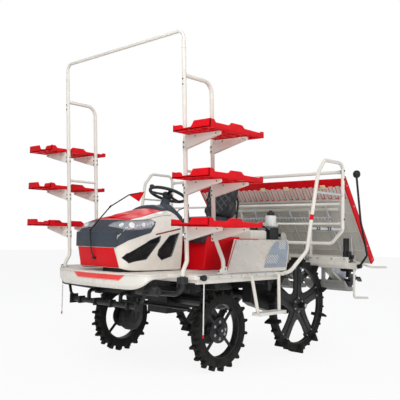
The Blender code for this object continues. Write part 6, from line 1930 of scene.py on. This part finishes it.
class TRANSPLANTER_OT_add_stage(bpy.types.Operator):
    """Add the floor, the soft lamps and the camera"""

    bl_idname = "transplanter.add_stage"
    bl_label = "Add Stage"

    def execute(self, context):
        self.floor()
        self.world(context)
        self.lamps(context)
        self.camera(context)
        return {"FINISHED"}

    def floor(self):
        """White floor that shows a faint shadow."""
        choose()
        bpy.ops.mesh.primitive_plane_add(size=60.0)
        floor = added()
        floor.name = "studio_floor"
        paint = Shading("studio_floor", 0.9)
        paint.colour(paint.mix(paint.noise(2.0), (0.86, 0.86, 0.86), (0.88, 0.88, 0.88)))
        lit = paint.node("ShaderNodeEmission")
        lit.inputs["Color"].default_value = (1.0, 1.0, 1.0, 1.0)
        seen = paint.node("ShaderNodeLightPath")
        blend = paint.node("ShaderNodeMixShader")
        output = paint.tree.nodes["Material Output"]
        share = paint.math("MULTIPLY", paint.math("MAXIMUM", seen.outputs["Is Camera Ray"],
                                                  seen.outputs["Is Glossy Ray"]), 0.90)
        paint.link(share, blend.inputs[0])
        paint.link(paint.shader.outputs[0], blend.inputs[1])
        paint.link(lit.outputs[0], blend.inputs[2])
        paint.link(blend.outputs[0], output.inputs["Surface"])
        floor.data.materials.append(paint.material)

    def world(self, context):
        """White behind the machine, and a dimmer sky for its light."""
        world = bpy.data.worlds.new("studio_world")
        world.use_nodes = True
        back = world.node_tree.nodes["Background"]
        back.inputs["Color"].default_value = (1.0, 1.0, 1.0, 1.0)
        back.inputs["Strength"].default_value = 1.0
        dim = world.node_tree.nodes.new("ShaderNodeBackground")
        dim.inputs["Color"].default_value = (0.93, 0.95, 1.0, 1.0)
        dim.inputs["Strength"].default_value = 0.46
        seen = world.node_tree.nodes.new("ShaderNodeLightPath")
        blend = world.node_tree.nodes.new("ShaderNodeMixShader")
        world.node_tree.links.new(seen.outputs["Is Camera Ray"], blend.inputs[0])
        world.node_tree.links.new(dim.outputs[0], blend.inputs[1])
        world.node_tree.links.new(back.outputs[0], blend.inputs[2])
        output = world.node_tree.nodes["World Output"]
        world.node_tree.links.new(blend.outputs[0], output.inputs["Surface"])
        context.scene.world = world

    def lamps(self, context):
        """Four soft lamps aimed at the machine's middle."""
        lamps = (("key", (2.6, -4.6, 5.2), 190.0, 3.0), ("fill", (5.5, 1.5, 3.2), 60.0, 4.0),
                 ("back", (-3.5, 3.5, 4.5), 70.0, 3.0), ("low", (3.4, -4.4, 0.7), 48.0, 2.5))
        for name, place, power, size in lamps:
            bpy.ops.object.light_add(type="AREA", location=place)
            lamp = context.view_layer.objects.active
            lamp.name = f"lamp_{name}"
            lamp.data.energy = power
            lamp.data.size = size
            aim = Vector((0.0, 0.0, 1.0)) - Vector(place)
            lamp.rotation_euler = aim.to_track_quat("-Z", "Y").to_euler()

    def camera(self, context):
        """Camera that stands where the photo was taken from."""
        bpy.ops.object.camera_add()
        camera = context.view_layer.objects.active
        camera.name = "photo_camera"
        camera.data.lens = 54.05
        camera.data.sensor_width = 36.0
        camera.location = (3.8335, -3.7452 + FRONT_AXLE_Y, 1.0909)
        heading, rise, roll = radians(42.7222), radians(3.3938), radians(1.02)
        ahead = Vector((-sin(heading) * cos(rise), cos(heading) * cos(rise), sin(rise)))
        level = Vector((cos(heading), sin(heading), 0.0))
        upright = level.cross(ahead)
        across = level * cos(roll) + upright * sin(roll)
        above = -level * sin(roll) + upright * cos(roll)
        camera.rotation_euler = Matrix((across, above, -ahead)).transposed().to_euler()
        context.scene.camera = camera
        context.scene.view_settings.view_transform = "Standard"


class TRANSPLANTER_PT_panel(bpy.types.Panel):
    """Sidebar panel with the look's colours and the steps"""

    bl_idname = "TRANSPLANTER_PT_panel"
    bl_label = "Rice Transplanter"
    bl_space_type = "VIEW_3D"
    bl_region_type = "UI"
    bl_category = "Transplanter"

    def draw(self, context):
        look = context.scene.transplanter_look
        for name in ("cream", "red", "charcoal", "front_lugs", "rear_paddles"):
            self.layout.prop(look, name)
        for step in STEPS:
            self.layout.operator(step.bl_idname)


PAINTS = {}
STEPS = (
    TRANSPLANTER_OT_paint_nodes,
    TRANSPLANTER_OT_add_bonnet,
    TRANSPLANTER_OT_add_headlights,
    TRANSPLANTER_OT_add_guide_mast,
    TRANSPLANTER_OT_add_deck,
    TRANSPLANTER_OT_add_wheels,
    TRANSPLANTER_OT_add_racks,
    TRANSPLANTER_OT_add_shelves,
    TRANSPLANTER_OT_add_handrails,
    TRANSPLANTER_OT_add_seat,
    TRANSPLANTER_OT_add_steering,
    TRANSPLANTER_OT_add_body,
    TRANSPLANTER_OT_add_rear_fittings,
    TRANSPLANTER_OT_add_platform,
    TRANSPLANTER_OT_add_planter,
    TRANSPLANTER_OT_add_small_parts,
    TRANSPLANTER_OT_add_stage,
)
CLASSES = (TransplanterLook, *STEPS, TRANSPLANTER_PT_panel)


def register():
    for kind in CLASSES:
        bpy.utils.register_class(kind)
    bpy.types.Scene.transplanter_look = PointerProperty(type=TransplanterLook)


def unregister():
    del bpy.types.Scene.transplanter_look
    for kind in reversed(CLASSES):
        bpy.utils.unregister_class(kind)


def main():
    """Register the add-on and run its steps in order."""
    register()
    PAINTS.update(finishes(bpy.context.scene.transplanter_look))
    for step in STEPS:
        group, action = step.bl_idname.split(".")
        getattr(getattr(bpy.ops, group), action)()


if __name__ == "__main__":
    main()
